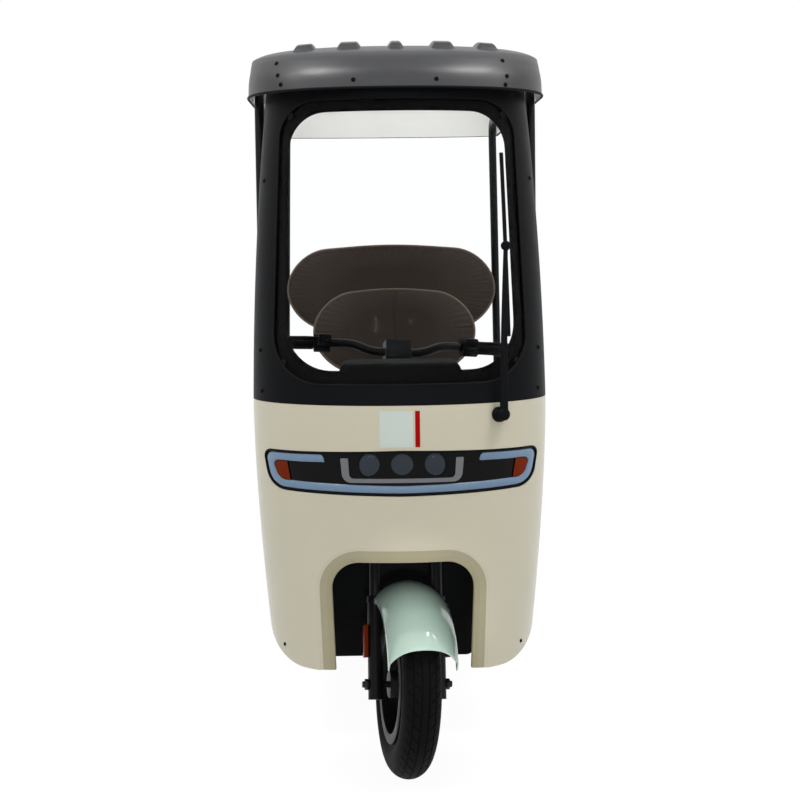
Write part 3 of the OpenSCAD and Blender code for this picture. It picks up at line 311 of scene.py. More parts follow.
class Workbench:
    """Modelling moves shared by the sub-assemblies."""

    @staticmethod
    def select(*pieces: bpy.types.Object) -> None:
        """Selects only the given pieces, the first one active."""
        bpy.ops.object.select_all(action="DESELECT")
        for piece in pieces:
            piece.select_set(True)
        bpy.context.view_layer.objects.active = pieces[0]

    @staticmethod
    @contextmanager
    def editing(piece: bpy.types.Object) -> Iterator[None]:
        """Edit mode on one piece, with all of it selected."""
        Workbench.select(piece)
        bpy.ops.object.mode_set(mode="EDIT")
        bpy.ops.mesh.select_all(action="SELECT")
        yield
        bpy.ops.object.mode_set(mode="OBJECT")

    @staticmethod
    def modify(piece: bpy.types.Object, kind: str, **settings: object) -> None:
        """Adds a modifier with its settings and applies it."""
        Workbench.select(piece)
        modifier = piece.modifiers.new(kind.lower(), kind)
        for key, value in settings.items():
            setattr(modifier, key, value)
        bpy.ops.object.modifier_apply(modifier=modifier.name)

    @staticmethod
    def thicken(piece: bpy.types.Object, wall: float, lining: int = 0) -> None:
        """Gives a sheet a wall behind its face, whose inside takes the material that many slots on."""
        Workbench.modify(piece, "SOLIDIFY", thickness=wall, offset=-1.0, material_offset=lining)

    @staticmethod
    def soften(piece: bpy.types.Object, width: float, steps: int, angle: float) -> None:
        """Rounds the edges that are sharper than an angle in radians."""
        Workbench.modify(piece, "BEVEL", width=width, segments=steps, limit_method="ANGLE", angle_limit=angle)

    @staticmethod
    def sheet(name: str, columns: int, rows: int, place: Place, closed: bool = False) -> bpy.types.Object:
        """Grid shaped by a formula.

        Args:
            name: Name of the piece.
            columns: Cells along u.
            rows: Cells along v.
            place: Gives the point for u and v, both from 0 to 1.
            closed: Merges points that meet, and turns the faces outwards.

        Returns:
            The new object.
        """
        bpy.ops.object.select_all(action="DESELECT")
        bpy.ops.mesh.primitive_grid_add(x_subdivisions=columns, y_subdivisions=rows, size=2.0)
        piece = bpy.context.object
        piece.name = piece.data.name = name
        spots = [place((v.co.x + 1) / 2, (v.co.y + 1) / 2) for v in piece.data.vertices]
        piece.data.vertices.foreach_set("co", [c for spot in spots for c in spot])
        piece.data.update()
        if closed:
            with Workbench.editing(piece):
                bpy.ops.mesh.remove_doubles(threshold=MERGE)
                bpy.ops.mesh.dissolve_degenerate(threshold=1e-7)
                bpy.ops.mesh.normals_make_consistent(inside=False)
        return piece

    @staticmethod
    def prism(name: str, outline: Sequence[Flat], y0: float, y1: float) -> bpy.types.Object:
        """Front-view outline pushed through along Y from y0 to y1."""
        bpy.ops.object.select_all(action="DESELECT")
        bpy.ops.mesh.primitive_circle_add(vertices=len(outline), fill_type="NGON")
        piece = bpy.context.object
        piece.name = piece.data.name = name
        for vertex, (x, z) in zip(piece.data.vertices, outline):
            vertex.co = (x, y0, z)
        with Workbench.editing(piece):
            bpy.ops.mesh.extrude_region_move(TRANSFORM_OT_translate={"value": (0, y1 - y0, 0)})
            bpy.ops.mesh.select_all(action="SELECT")
            bpy.ops.mesh.normals_make_consistent(inside=False)
        return piece

    @staticmethod
    def cut(piece: bpy.types.Object, outline: Sequence[Flat], back: float = COWL_CUT,
            keep: bool = False) -> None:
        """Cuts a front-view outline out of a piece, back to a depth, or keeps only what lies inside it."""
        tool = Workbench.prism("cutting_tool", outline, CUT_FRONT, back)
        Workbench.modify(piece, "BOOLEAN", object=tool, operation="INTERSECT" if keep else "DIFFERENCE",
                         solver="MANIFOLD")
        bpy.data.objects.remove(tool)

    @staticmethod
    def turned(name: str, section: Sequence[Flat], hub: Matrix, steps: int = 48) -> bpy.types.Object:
        """Closed section, as (radius, height), spun about the Z axis of a hub frame."""
        bpy.ops.object.select_all(action="DESELECT")
        bpy.ops.mesh.primitive_circle_add(vertices=len(section), fill_type="NOTHING")
        piece = bpy.context.object
        piece.name = piece.data.name = name
        for vertex, (r, h) in zip(piece.data.vertices, section):
            vertex.co = (r, 0, h)
        with Workbench.editing(piece):
            bpy.ops.mesh.spin(steps=steps, angle=math.tau, center=(0, 0, 0), axis=(0, 0, 1))
            bpy.ops.mesh.select_all(action="SELECT")
            bpy.ops.mesh.remove_doubles(threshold=MERGE)
            bpy.ops.mesh.dissolve_degenerate(threshold=MERGE)
            bpy.ops.mesh.normals_make_consistent(inside=False)
        piece.data.transform(hub)
        return piece

    @staticmethod
    def tube(name: str, paths: Sequence[Sequence[Vector]], radius: float, sides: int = 6,
             ring: bool = False) -> bpy.types.Object:
        """Round tubes along paths, closed at their ends or joined to rings.

        Args:
            name: Name of the piece.
            paths: One list of points for each tube.
            radius: Radius of the tubes.
            sides: Bevel resolution, a quarter of the facets round a tube.
            ring: Joins the ends of each path.

        Returns:
            The new object.
        """
        curve = bpy.data.curves.new(name, "CURVE")
        curve.dimensions = "3D"
        curve.bevel_depth = radius
        curve.bevel_resolution = sides
        curve.use_fill_caps = True
        for path in paths:
            spline = curve.splines.new("POLY")
            spline.points.add(len(path) - 1)
            for point, spot in zip(spline.points, path):
                point.co = (*spot, 1.0)
            spline.use_cyclic_u = ring
        drawn = bpy.data.objects.new(name, curve)
        bpy.context.collection.objects.link(drawn)
        Workbench.select(drawn)
        bpy.ops.object.convert(target="MESH")
        piece = bpy.context.object
        with Workbench.editing(piece):
            bpy.ops.mesh.remove_doubles(threshold=MERGE)
            bpy.ops.mesh.normals_make_consistent(inside=False)
        return piece

    @staticmethod
    def adopt(node: str, edge: float = 0.002, steps: int = 2, angle: float = 35) -> bpy.types.Object:
        """Merged copy of a solid of the frame with softened edges.

        Args:
            node: Name of the solid.
            edge: Width of the softened edge.
            steps: Segments across it.
            angle: Smallest angle, in degrees, of an edge that is softened.

        Returns:
            The new object.
        """
        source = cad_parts[node]
        piece = source.copy()
        piece.data = source.data.copy()
        piece.name = piece.data.name = node + "_dressed"
        piece.parent = None
        for key in list(piece.keys()):
            del piece[key]
        bpy.context.collection.objects.link(piece)
        Workbench.select(piece)
        bpy.ops.mesh.customdata_custom_splitnormals_clear()
        with Workbench.editing(piece):
            bpy.ops.mesh.remove_doubles(threshold=1e-5)
            bpy.ops.mesh.dissolve_limited(angle_limit=math.radians(0.4))
        if edge:
            Workbench.soften(piece, edge, steps, math.radians(angle))
        return piece

    @staticmethod
    def join(name: str, pieces: Sequence[bpy.types.Object]) -> bpy.types.Object:
        """Joins pieces to one object."""
        Workbench.select(*pieces)
        bpy.ops.object.join()
        joined = bpy.context.object
        joined.name = joined.data.name = name
        return joined

    @staticmethod
    def place(piece: bpy.types.Object, finish: Finish, *nodes: str, body: Body = Body.CHASSIS,
              angle: float = 35, keep_materials: bool = False) -> None:
        """Smooths a piece, gives it its finish, and sets it on its body.

        Args:
            piece: The piece.
            finish: Its finish.
            nodes: Solids of the frame that it stands for.
            body: Body that it rides on.
            angle: Largest angle, in degrees, that is shaded smooth.
            keep_materials: Leaves the materials that the piece already has.
        """
        Workbench.select(piece)
        bpy.ops.object.shade_smooth_by_angle(angle=math.radians(angle))
        if not keep_materials:
            piece.data.materials.clear()
            piece.data.materials.append(finish.material())
        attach(piece, body.value)
        if nodes:
            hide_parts(*nodes)
        LOG.info("%s: %d faces on %s", piece.name, len(piece.data.polygons), body.value)

    @staticmethod
    def dress(node: str, finish: Finish, edge: float, body: Body = Body.CHASSIS, steps: int = 2,
              soft: float = 35, angle: float = 40) -> None:
        """Sets a softened copy of a solid of the frame in its place.

        Args:
            node: Name of the solid.
            finish: Finish of the copy.
            edge: Width of the softened edges.
            body: Body that it rides on.
            steps: Segments across a softened edge.
            soft: Smallest angle, in degrees, of an edge that is softened.
            angle: Largest angle, in degrees, that is shaded smooth.
        """
        Workbench.place(Workbench.adopt(node, edge, steps, soft), finish, node, body=body, angle=angle)


@dataclass(frozen=True)
class Skin:
    """Front skin that is rounded in plan: half-width and nose line for a height."""

    low: float
    top: float
    nose_depth: float = 0.255
    power: float = 2.1
    side_share: float = 0.07

    def side(self, z: float) -> float:
        """Half-width at a height."""
        raise NotImplementedError

    def nose(self, z: float) -> float:
        """Foremost y at a height."""
        raise NotImplementedError

    def rear(self, z: float) -> float:
        """Rear edge at a height."""
        raise NotImplementedError

    def arc(self, turn: float, z: float, inset: float) -> Vector:
        """Point of the rounded front at a plan angle, from -90 to 90 degrees in radians."""
        w, d, y = self.side(z) - inset, self.nose_depth - inset, self.nose(z) + inset
        s, c = math.sin(turn), max(0.0, math.cos(turn))
        share = 2 / self.power
        return Vector((math.copysign(abs(s) ** share, s) * w, y + d - d * c ** share, z))

    def wrap(self, u: float, z: float, inset: float) -> Vector:
        """Point of the whole skin, u running from the right rear edge round to the left one."""
        if self.side_share <= u <= 1 - self.side_share:
            share = (u - self.side_share) / (1 - 2 * self.side_share)
            return self.arc(math.pi * (share - 0.5), z, inset)
        hand = -1 if u < 0.5 else 1
        back = 1 - min(u, 1 - u) / self.side_share
        start = self.nose(z) + self.nose_depth
        return Vector((hand * (self.side(z) - inset), start + (self.rear(z) - start) * back, z))

    def front(self, x: float, z: float, inset: float) -> float:
        """Depth of the skin behind a point of the front view."""
        w, d = self.side(z) - inset, self.nose_depth - inset
        share = min(1.0, abs(x) / w)
        return self.nose(z) + inset + d - d * max(0.0, 1 - share ** self.power) ** (1 / self.power)

    def on(self, x: float, z: float, inset: float = 0.0) -> Vector:
        """Point of the skin behind a point of the front view."""
        return Vector((x, self.front(x, z, inset), z))

    def facing(self, x: float, z: float) -> Matrix:
        """Frame on the skin whose Z axis points straight out of it."""
        step = 0.004
        across = self.on(x + step, z) - self.on(x - step, z)
        up = self.on(x, z + step) - self.on(x, z - step)
        out = across.cross(up).normalized()
        return Matrix.Translation(self.on(x, z)) @ out.to_track_quat("Z", "Y").to_matrix().to_4x4()

    def slab(self, name: str, columns: int, rows: int, inset: float, wall: float,
             span: Triple | None = None) -> bpy.types.Object:
        """Closed wall that follows the skin.

        Args:
            name: Name of the piece.
            columns: Cells round the skin.
            rows: Cells up the skin.
            inset: Depth of the outer face below the skin.
            wall: Thickness.
            span: Plan angle in radians and heights that the wall is limited to, or the whole skin.

        Returns:
            The new object.
        """
        def place(u: float, v: float) -> Vector:
            """Point of the outer face."""
            if span:
                return self.arc(span[0] * (2 * u - 1), span[1] + (span[2] - span[1]) * v, inset)
            return self.wrap(u, self.low + (self.top - self.low) * v, inset)
        piece = Workbench.sheet(name, columns, rows, place)
        Workbench.thicken(piece, wall)
        return piece

    def bead(self, name: str, outline: Sequence[Flat], step: float, inset: float,
             radius: float) -> bpy.types.Object:
        """Closed round bead along a front-view outline.

        Args:
            name: Name of the piece.
            outline: The outline.
            step: Longest straight part along it.
            inset: Depth of the bead's middle below the skin.
            radius: Radius of the bead.

        Returns:
            The new object.
        """
        ring = Outline.split(outline, Outline.counts(outline, step))
        return Workbench.tube(name, [[self.on(x, z, inset) for x, z in ring]], radius, 3, ring=True)


@dataclass(frozen=True)
class CowlSkin(Skin):
    """Skin of the front cowl."""

    low: float = 0.302
    top: float = 0.897
    half: float = 0.338
    taper: float = 0.038
    nose_y: float = -1.025
    nose_z: float = 0.720
    rear_y: float = -0.700

    def side(self, z: float) -> float:
        """Half-width, drawn in towards the lower edge."""
        return self.half - self.taper * max(0.0, (self.top - z) / (self.top - self.low)) ** 1.6

    def nose(self, z: float) -> float:
        """Nose line, furthest forward at the height of the lamp."""
        if z > self.nose_z:
            return self.nose_y + 0.010 * ((z - self.nose_z) / (self.top - self.nose_z)) ** 2
        return self.nose_y + 0.012 * ((self.nose_z - z) / (self.nose_z - self.low)) ** 2

    def rear(self, z: float) -> float:
        """Rear edge, upright."""
        return self.rear_y


@dataclass(frozen=True)
class ScreenSkin(Skin):
    """Skin of the windscreen and its surround."""

    low: float = 0.8973
    top: float = 1.622
    half: float = 0.338
    taper: float = 0.033
    nose_y: float = -1.015
    lean: float = 0.236
    reach: float = 0.318

    def side(self, z: float) -> float:
        """Half-width, drawn in towards the top."""
        return self.half - self.taper * ((z - self.low) / (self.top - self.low)) ** 2

    def nose(self, z: float) -> float:
        """Nose line, leaning back."""
        return self.nose_y + self.lean * (z - self.low)

    def rear(self, z: float) -> float:
        """Rear edge, leaning with the nose line."""
        return self.nose(z) + self.reach


COWL = CowlSkin()
SCREEN = ScreenSkin()


class Fasteners:
    """Small screws set square to the skins."""

    @staticmethod
    def screws(name: str, spots: Sequence[Matrix], radius: float = 0.0052) -> bpy.types.Object:
        """Button-head screws with a socket, joined to one piece."""
        r = radius
        section = [(0, -0.002), (r, -0.002), (r, 0.0008), (r * 0.85, 0.0021), (r * 0.55, 0.0028),
                   (r * 0.45, 0.0028), (r * 0.42, 0.0012), (0, 0.0012)]
        heads = [Workbench.turned(name, section, spot, 20) for spot in spots]
        return Workbench.join(name, heads)


@dataclass
class FrontCowl:
    """Moulded cowl with its wheel opening and the stripe above the lamp."""

    wall: float = 0.007
    corner: float = 0.092
    arch_half: float = 0.159
    arch_foot: float = 0.012
    arch_top: float = 0.550
    arch_radius: float = 0.062
    arch_base: float = 0.200
    band: float = 0.036
    band_depth: float = 0.015

    def arch(self, grow: float, steps: int = 8) -> list[Flat]:
        """Wheel opening seen from the front, grown by a distance."""
        foot, half = self.arch_half - self.arch_foot + grow, self.arch_half + grow
        top, radius = self.arch_top + grow, self.arch_radius + grow
        return Outline.even([(foot, self.arch_base, 0), (half, top, radius)], steps)

    def shell(self) -> None:
        """Builds the shell, cut for the arch, the lamp and the rounded lower corners."""
        piece = Workbench.sheet("front_cowl_shell", 180, 112,
                                lambda u, v: COWL.wrap(u, COWL.low + (COWL.top - COWL.low) * v, 0.0))
        piece.data.materials.append(CREAM.material())
        # The cowl's inner face takes the near-black underseal, painted shade for the inside of the wheel
        # opening.
        piece.data.materials.append(UNDERSEAL_AND_SHADE.material())
        Workbench.thicken(piece, self.wall, 1)
        Workbench.cut(piece, self.arch(self.band))
        Workbench.cut(piece, LAMP.outline(-0.0004))
        r, below, steps = self.corner, COWL.low - 0.01, 24
        centre_z = COWL.low + r
        centre_x = COWL.side(centre_z) - r
        outside = centre_x + r + 0.04
        turns = [k * math.pi / 2 / steps for k in range(steps + 1)]
        corner = [(centre_x + r * math.sin(t), centre_z - r * math.cos(t)) for t in turns]
        corner += [(outside, centre_z), (outside, below), (centre_x, below)]
        for hand in (-1, 1):
            Workbench.cut(piece, [(hand * x, z) for x, z in corner], CORNER_CUT)
        Workbench.place(piece, CREAM, "front_cowl", keep_materials=True)

    def arch_band(self) -> None:
        """Builds the turned-in band round the wheel opening."""
        profile = [(self.band + 0.003, 0.0001), (self.band, 0.0003), (self.band - 0.003, 0.0010),
                   (self.band - 0.007, 0.0026), (self.band - 0.013, 0.0050), (self.band - 0.022, 0.0085),
                   (0.004, 0.0125), (0.001, self.band_depth), (0.0, self.band_depth + 0.004),
                   (0.0, self.band_depth + 0.016)]
        counts = Outline.counts(self.arch(0.0, 14), 0.008)
        rows = [Outline.split(self.arch(grow, 14), counts)[:-counts[-1] + 1] for grow, _ in profile]
        kept = [i for i, spot in enumerate(rows[0]) if spot[1] >= COWL.low]

        def strip(name: str, first: int, last: int, finish: Finish) -> None:
            """Builds the part of the band between two rows of its profile."""
            def place(u: float, v: float) -> Vector:
                """Point along the arch and across the band."""
                i, j = kept[round(u * (len(kept) - 1))], first + round(v * (last - first))
                x, z = rows[j][i]
                return COWL.on(x, z, profile[j][1])
            piece = Workbench.sheet(name, len(kept) - 1, last - first, place)
            with Workbench.editing(piece):
                bpy.ops.mesh.flip_normals()
            Workbench.thicken(piece, 0.003)
            Workbench.place(piece, finish, angle=60)
        # The slope and the band take darker creams, painted shade of the recess; the shoulder keeps the plain
        # cream.
        strip("arch_shoulder", 0, 3, CREAM)
        strip("arch_slope", 3, 5, ARCH_EDGE_PAINTED_SHADE)
        strip("arch_band", 5, len(profile) - 1, ARCH_PAINTED_SHADE)

    def stripe(self, name: str, finish: Finish, x: Flat, z: Flat) -> None:
        """Builds one patch of film on the skin."""
        piece = Workbench.sheet(name, 12, 14, lambda u, v: COWL.on(
            x[0] + (x[1] - x[0]) * u, z[0] + (z[1] - z[0]) * v, -0.0004))
        Workbench.thicken(piece, 0.0003)
        Workbench.place(piece, finish)

    def build(self) -> None:
        """Builds the cowl's pieces."""
        self.shell()
        self.arch_band()
        self.stripe("mint_stripe", MINT_FILM, (-0.0485, 0.0245), (0.8075, 0.886))
        self.stripe("red_stripe", RED_FILM, (0.029, 0.0395), (0.8075, 0.886))
        spots = [COWL.facing(hand * 0.268, 0.344) for hand in (-1, 1)]
        Workbench.place(Fasteners.screws("cowl_screws", spots, 0.0042), SATIN)


@dataclass
class LampUnit:
    """Wide lamp let into the cowl."""

    half: float = 0.311
    middle_z: float = 0.750
    height: float = 0.100
    drop: float = 0.007
    lift: float = 0.006
    draw: float = 0.016
    upper_r: float = 0.018
    lower_r: float = 0.046
    crown_r: float = 0.9
    face: float = 0.003
    strip_in: float = 0.006
    strip_w: float = 0.017
    gap_half: float = 0.170
    signal_in: float = 0.0240
    lens_z: float = 0.768
    lens_r: float = 0.030
    pitch: float = 0.066
    trim_half: float = 0.135
    reach: float = math.radians(84)

    def outline(self, inset: float, steps: int = 8) -> list[Flat]:
        """Outline seen from the front, drawn in by a distance."""
        g, top, low = inset, self.middle_z + self.height / 2, self.middle_z - self.height / 2
        half, foot = self.half - g, self.half - self.draw - g
        upper, lower = top - self.drop - g, low + self.lift + g
        upper_r, lower_r = self.upper_r - g / 3, self.lower_r - g
        return Outline.rounded([(-half, upper, upper_r), (0, top - g, self.crown_r), (half, upper, upper_r),
                                (foot, lower, lower_r), (0, low + g, self.crown_r), (-foot, lower, lower_r)],
                               steps)

    def slab(self, name: str, inset: float, wall: float) -> bpy.types.Object:
        """Wall behind the whole lamp, to be cut to an outline."""
        low, top = self.middle_z - self.height / 2 - 0.006, self.middle_z + self.height / 2 + 0.006
        return COWL.slab(name, 168, 28, inset, wall, (self.reach, low, top))

    def shaped(self, name: str, inset: float, wall: float, *tools: Sequence[Flat]) -> bpy.types.Object:
        """Wall cut to the part that lies inside all the outlines."""
        piece = self.slab(name, inset, wall)
        for tool in tools:
            Workbench.cut(piece, tool, keep=True)
        return piece

    def panel(self) -> None:
        """Builds the gloss panel and the bead round it."""
        piece = self.shaped("lamp_panel", self.face, 0.010, self.outline(0.0003))
        Workbench.place(piece, PIANO, "headlamp_panel")
        bead = COWL.bead("lamp_rim", self.outline(0.0022), 0.008, 0.0014, 0.0022)
        Workbench.place(bead, SATIN, angle=60)

    def strip(self) -> None:
        """Builds the light guide: along the bottom, round both ends and back over them."""
        middle, half = self.strip_in + self.strip_w / 2, self.strip_w / 2
        arcs = [-1, -0.94, -0.8, -0.5, 0, 0.5, 0.8, 0.94, 1]
        turns = 2 * len(arcs)
        counts = Outline.counts(self.outline(middle, 12), 0.0022)

        def row(inset: float) -> list[Flat]:
            """Outline from the middle of the top, without the gap in the top."""
            points = Outline.split(self.outline(inset, 12), counts)
            upper = [i for i, (_, z) in enumerate(points) if z >= self.middle_z]
            start = min(upper, key=lambda i: abs(points[i][0]))
            return points[start:] + points[:start]
        spine = row(middle)
        kept = [i for i, (x, z) in enumerate(spine) if z < self.middle_z or abs(x) > self.gap_half]
        rows = [row(middle + half * s) for s in arcs]
        ends = [min(math.dist(spine[i], spine[kept[0]]), math.dist(spine[i], spine[kept[-1]])) for i in kept]

        def place(u: float, v: float) -> Vector:
            """Point along the guide and round its section."""
            k = round(u * (len(kept) - 1))
            i, j = kept[k], round(v * turns) % turns
            flat = j >= len(arcs)
            arc = turns - 1 - j if flat else j
            narrow = math.sqrt(1 - (1 - min(1.0, ends[k] / (0.7 * half))) ** 2)
            if narrow == 0:
                return COWL.on(*spine[i], 0.0033)
            x = spine[i][0] + (rows[arc][i][0] - spine[i][0]) * narrow
            z = spine[i][1] + (rows[arc][i][1] - spine[i][1]) * narrow
            crown = math.sqrt(max(0.0, 1 - arcs[arc] ** 2)) * narrow
            return COWL.on(x, z, 0.0036 if flat else 0.0029 - 0.0034 * crown)
        piece = Workbench.sheet("light_guide", len(kept) - 1, turns, place, closed=True)
        Workbench.place(piece, STRIP, "light_strip", angle=50)

    def signals(self) -> None:
        """Builds the amber lenses at both ends."""
        low, top = self.middle_z - self.height, self.middle_z + self.height
        lenses = []
        for hand in (-1, 1):
            inner = [(hand * 0.232, low), (hand * 0.268, top), (hand * 0.4, top), (hand * 0.4, low)]
            lenses.append(self.shaped("turn_signal_lens", 0.0004, 0.004, self.outline(self.signal_in), inner))
        Workbench.place(Workbench.join("turn_signal_lens", lenses), AMBER, "turn_signals")

    def lenses(self) -> None:
        """Builds the three domed lenses and their rings."""
        domes, rings = [], []
        r = self.lens_r
        for i in (-1, 0, 1):
            spot = COWL.on(i * self.pitch, self.lens_z)
            hub = Matrix.Translation(spot + Vector((0, 0.005, 0))) @ Matrix.Rotation(math.pi / 2, 4, "X")
            dome = [(0, 0.006), (0.006, 0.0057), (0.012, 0.0049), (0.018, 0.0035), (0.024, 0.0015),
                    (r - 0.0015, -0.0010), (r - 0.0015, -0.008), (0, -0.008)]
            ring = [(r - 0.0018, -0.008), (r - 0.0018, -0.0006), (r - 0.0012, 0.0004), (r - 0.0004, 0.0006),
                    (r + 0.0003, 0.0002), (r + 0.0006, -0.0008), (r + 0.0006, -0.008)]
            domes.append(Workbench.turned("lamp_dome", dome, hub, 64))
            rings.append(Workbench.turned("lens_ring", ring, hub, 64))
        Workbench.place(Workbench.join("lamp_domes", domes), LENS, "lamp_lenses", angle=50)
        Workbench.place(Workbench.join("lens_rings", rings), SATIN)

    def trim(self) -> None:
        """Builds the silver trim under the lenses."""
        half, low, top = self.trim_half, self.middle_z - 0.020, self.middle_z + 0.033
        outer = Outline.even([(half, top, 0.003), (half - 0.005, low, 0.020)])
        inner = Outline.even([(half - 0.016, top + 0.02, 0), (half - 0.020, low + 0.009, 0.010)])
        piece = self.shaped("lamp_trim_moulding", 0.0, 0.003, outer)
        Workbench.cut(piece, inner)
        Workbench.place(piece, SILVER, "lamp_trim")

    def build(self) -> None:
        """Builds the lamp's pieces."""
        self.panel()
        self.strip()
        self.signals()
        self.lenses()
        self.trim()


LAMP = LampUnit()


@dataclass
class Windscreen:
    """Moulded surround, curved glass with its printed border, gasket, wiper and screws."""

    wall: float = 0.015
    half: float = 0.288
    low: float = 0.9393
    top: float = 1.572
    draw: float = 0.020
    low_r: float = 0.105
    top_r: float = 0.088
    glass_in: float = 0.003
    glass_t: float = 0.005
    border: tuple[Triple, Triple] = ((0.257, 0.971, 0.100), (0.242, 1.542, 0.082))
    screw_spots: tuple[Flat, ...] = ((0.307, 1.395), (0.316, 1.010), (0.312, 0.920))
    fixing_spots: tuple[Flat, ...] = ((0.243, 1.537), (0.262, 0.985))
    wiper_foot: Flat = (0.213, 0.871)
    blade: Flat = (1.040, 1.448)

    def outline(self, inset: float, steps: int = 12) -> list[Flat]:
        """Outline of the glass seen from the front, drawn in by a distance."""
        g, low, high = inset, self.half - inset, self.half - self.draw - inset
        corners = [(low, self.low + g, self.low_r - g), (high, self.top - g, self.top_r - g)]
        return Outline.even(corners, steps)

    def surround(self) -> None:
        """Builds the surround and the gasket in its opening."""
        piece = SCREEN.slab("windscreen_frame", 150, 90, 0.0, self.wall)
        Workbench.cut(piece, self.outline(-0.0003), SCREEN_CUT)
        Workbench.place(piece, SATIN, "windscreen_surround")
        bead = SCREEN.bead("glass_gasket", self.outline(0.0015, 16), 0.012, 0.0022, 0.0026)
        Workbench.place(bead, SOFT_RUBBER, angle=60)

    def pane(self) -> None:
        """Builds the glass and the black border printed behind it."""
        glass = SCREEN.slab("screen_pane", 150, 90, self.glass_in, self.glass_t)
        Workbench.cut(glass, self.outline(0.0002), SCREEN_CUT, keep=True)
        Workbench.place(glass, GLASS, "windscreen_glass")
        border = SCREEN.slab("screen_border", 150, 90, self.glass_in + self.glass_t + 0.0003, 0.001)
        Workbench.cut(border, self.outline(0.001), SCREEN_CUT, keep=True)
        Workbench.cut(border, Outline.even(self.border, 12), SCREEN_CUT)
        Workbench.place(border, PRINT)

    def fasteners(self) -> None:
        """Sets the screws of the surround and the round fixings at the corners of the glass."""
        spots = [SCREEN.facing(hand * x, z) for hand in (-1, 1) for x, z in self.screw_spots]
        Workbench.place(Fasteners.screws("surround_screws", spots), SATIN)
        sunk = Matrix.Translation((0, 0, -self.glass_in))
        corners = [SCREEN.facing(hand * x, z) @ sunk for hand in (-1, 1) for x, z in self.fixing_spots]
        Workbench.place(Fasteners.screws("glass_fixings", corners, 0.0085), SOFT_RUBBER)

    def wiper(self) -> None:
        """Builds the wiper: spindle cap, sprung arm and blade."""
        hub = COWL.facing(*self.wiper_foot)
        cap = [(0, 0.0006), (0.017, 0.0006), (0.017, 0.010), (0.0155, 0.013), (0.0135, 0.014),
               (0.0135, 0.026), (0.012, 0.029), (0.009, 0.030), (0, 0.030)]
        boss = Workbench.turned("wiper_boss", cap, hub, 40)
        start = hub @ Vector((0, 0, 0.023))
        end = SCREEN.on(0.238, 1.240) + Vector((0, -0.022, 0))
        middle = SCREEN.on(0.226, 1.03) + Vector((0, -0.034, 0))

        def arm(u: float, v: float) -> Vector:
            """Point along the arm and round its flat section."""
            line = start * (1 - u) ** 2 + middle * 2 * u * (1 - u) + end * u ** 2
            full, turn = min(1.0, 40 * u, 40 * (1 - u)), math.tau * v
            wide, thick = (0.0095 - 0.0045 * u) * full, (0.0042 - 0.0012 * u) * full
            return line + Vector((wide * math.cos(turn), thick * math.sin(turn), 0))
        rod = Workbench.sheet("wiper_arm", 40, 16, arm, closed=True)
        shares = [k / 30 for k in range(31)]

        def spine(t: float, lift: float) -> Vector:
            """Point along the blade, lifted off the glass."""
            z = self.blade[0] + (self.blade[1] - self.blade[0]) * t
            return SCREEN.on(0.241 - 0.007 * t, z) + Vector((0, -lift, 0))
        rubber = Workbench.tube("wiper_rubber", [[spine(t, 0.002) for t in shares]], 0.0024, 2)
        bow = [spine(t, 0.0085 + 0.008 * math.sin(math.pi * t)) for t in shares]
        holder = Workbench.tube("wiper_holder", [bow], 0.0046, 3)
        knob = [(0, -0.006), (0.010, -0.006), (0.011, -0.003), (0.011, 0.004), (0.008, 0.007), (0, 0.007)]
        pivot = Workbench.turned("wiper_pivot", knob,
                                 Matrix.Translation(end) @ Matrix.Rotation(math.pi / 2, 4, "X"), 24)
        piece = Workbench.join("wiper", [boss, rod, rubber, holder, pivot])
        Workbench.place(piece, SATIN, "windscreen_wiper")

    def build(self) -> None:
        """Builds the windscreen's pieces."""
        self.surround()
        self.pane()
        self.fasteners()
        self.wiper()


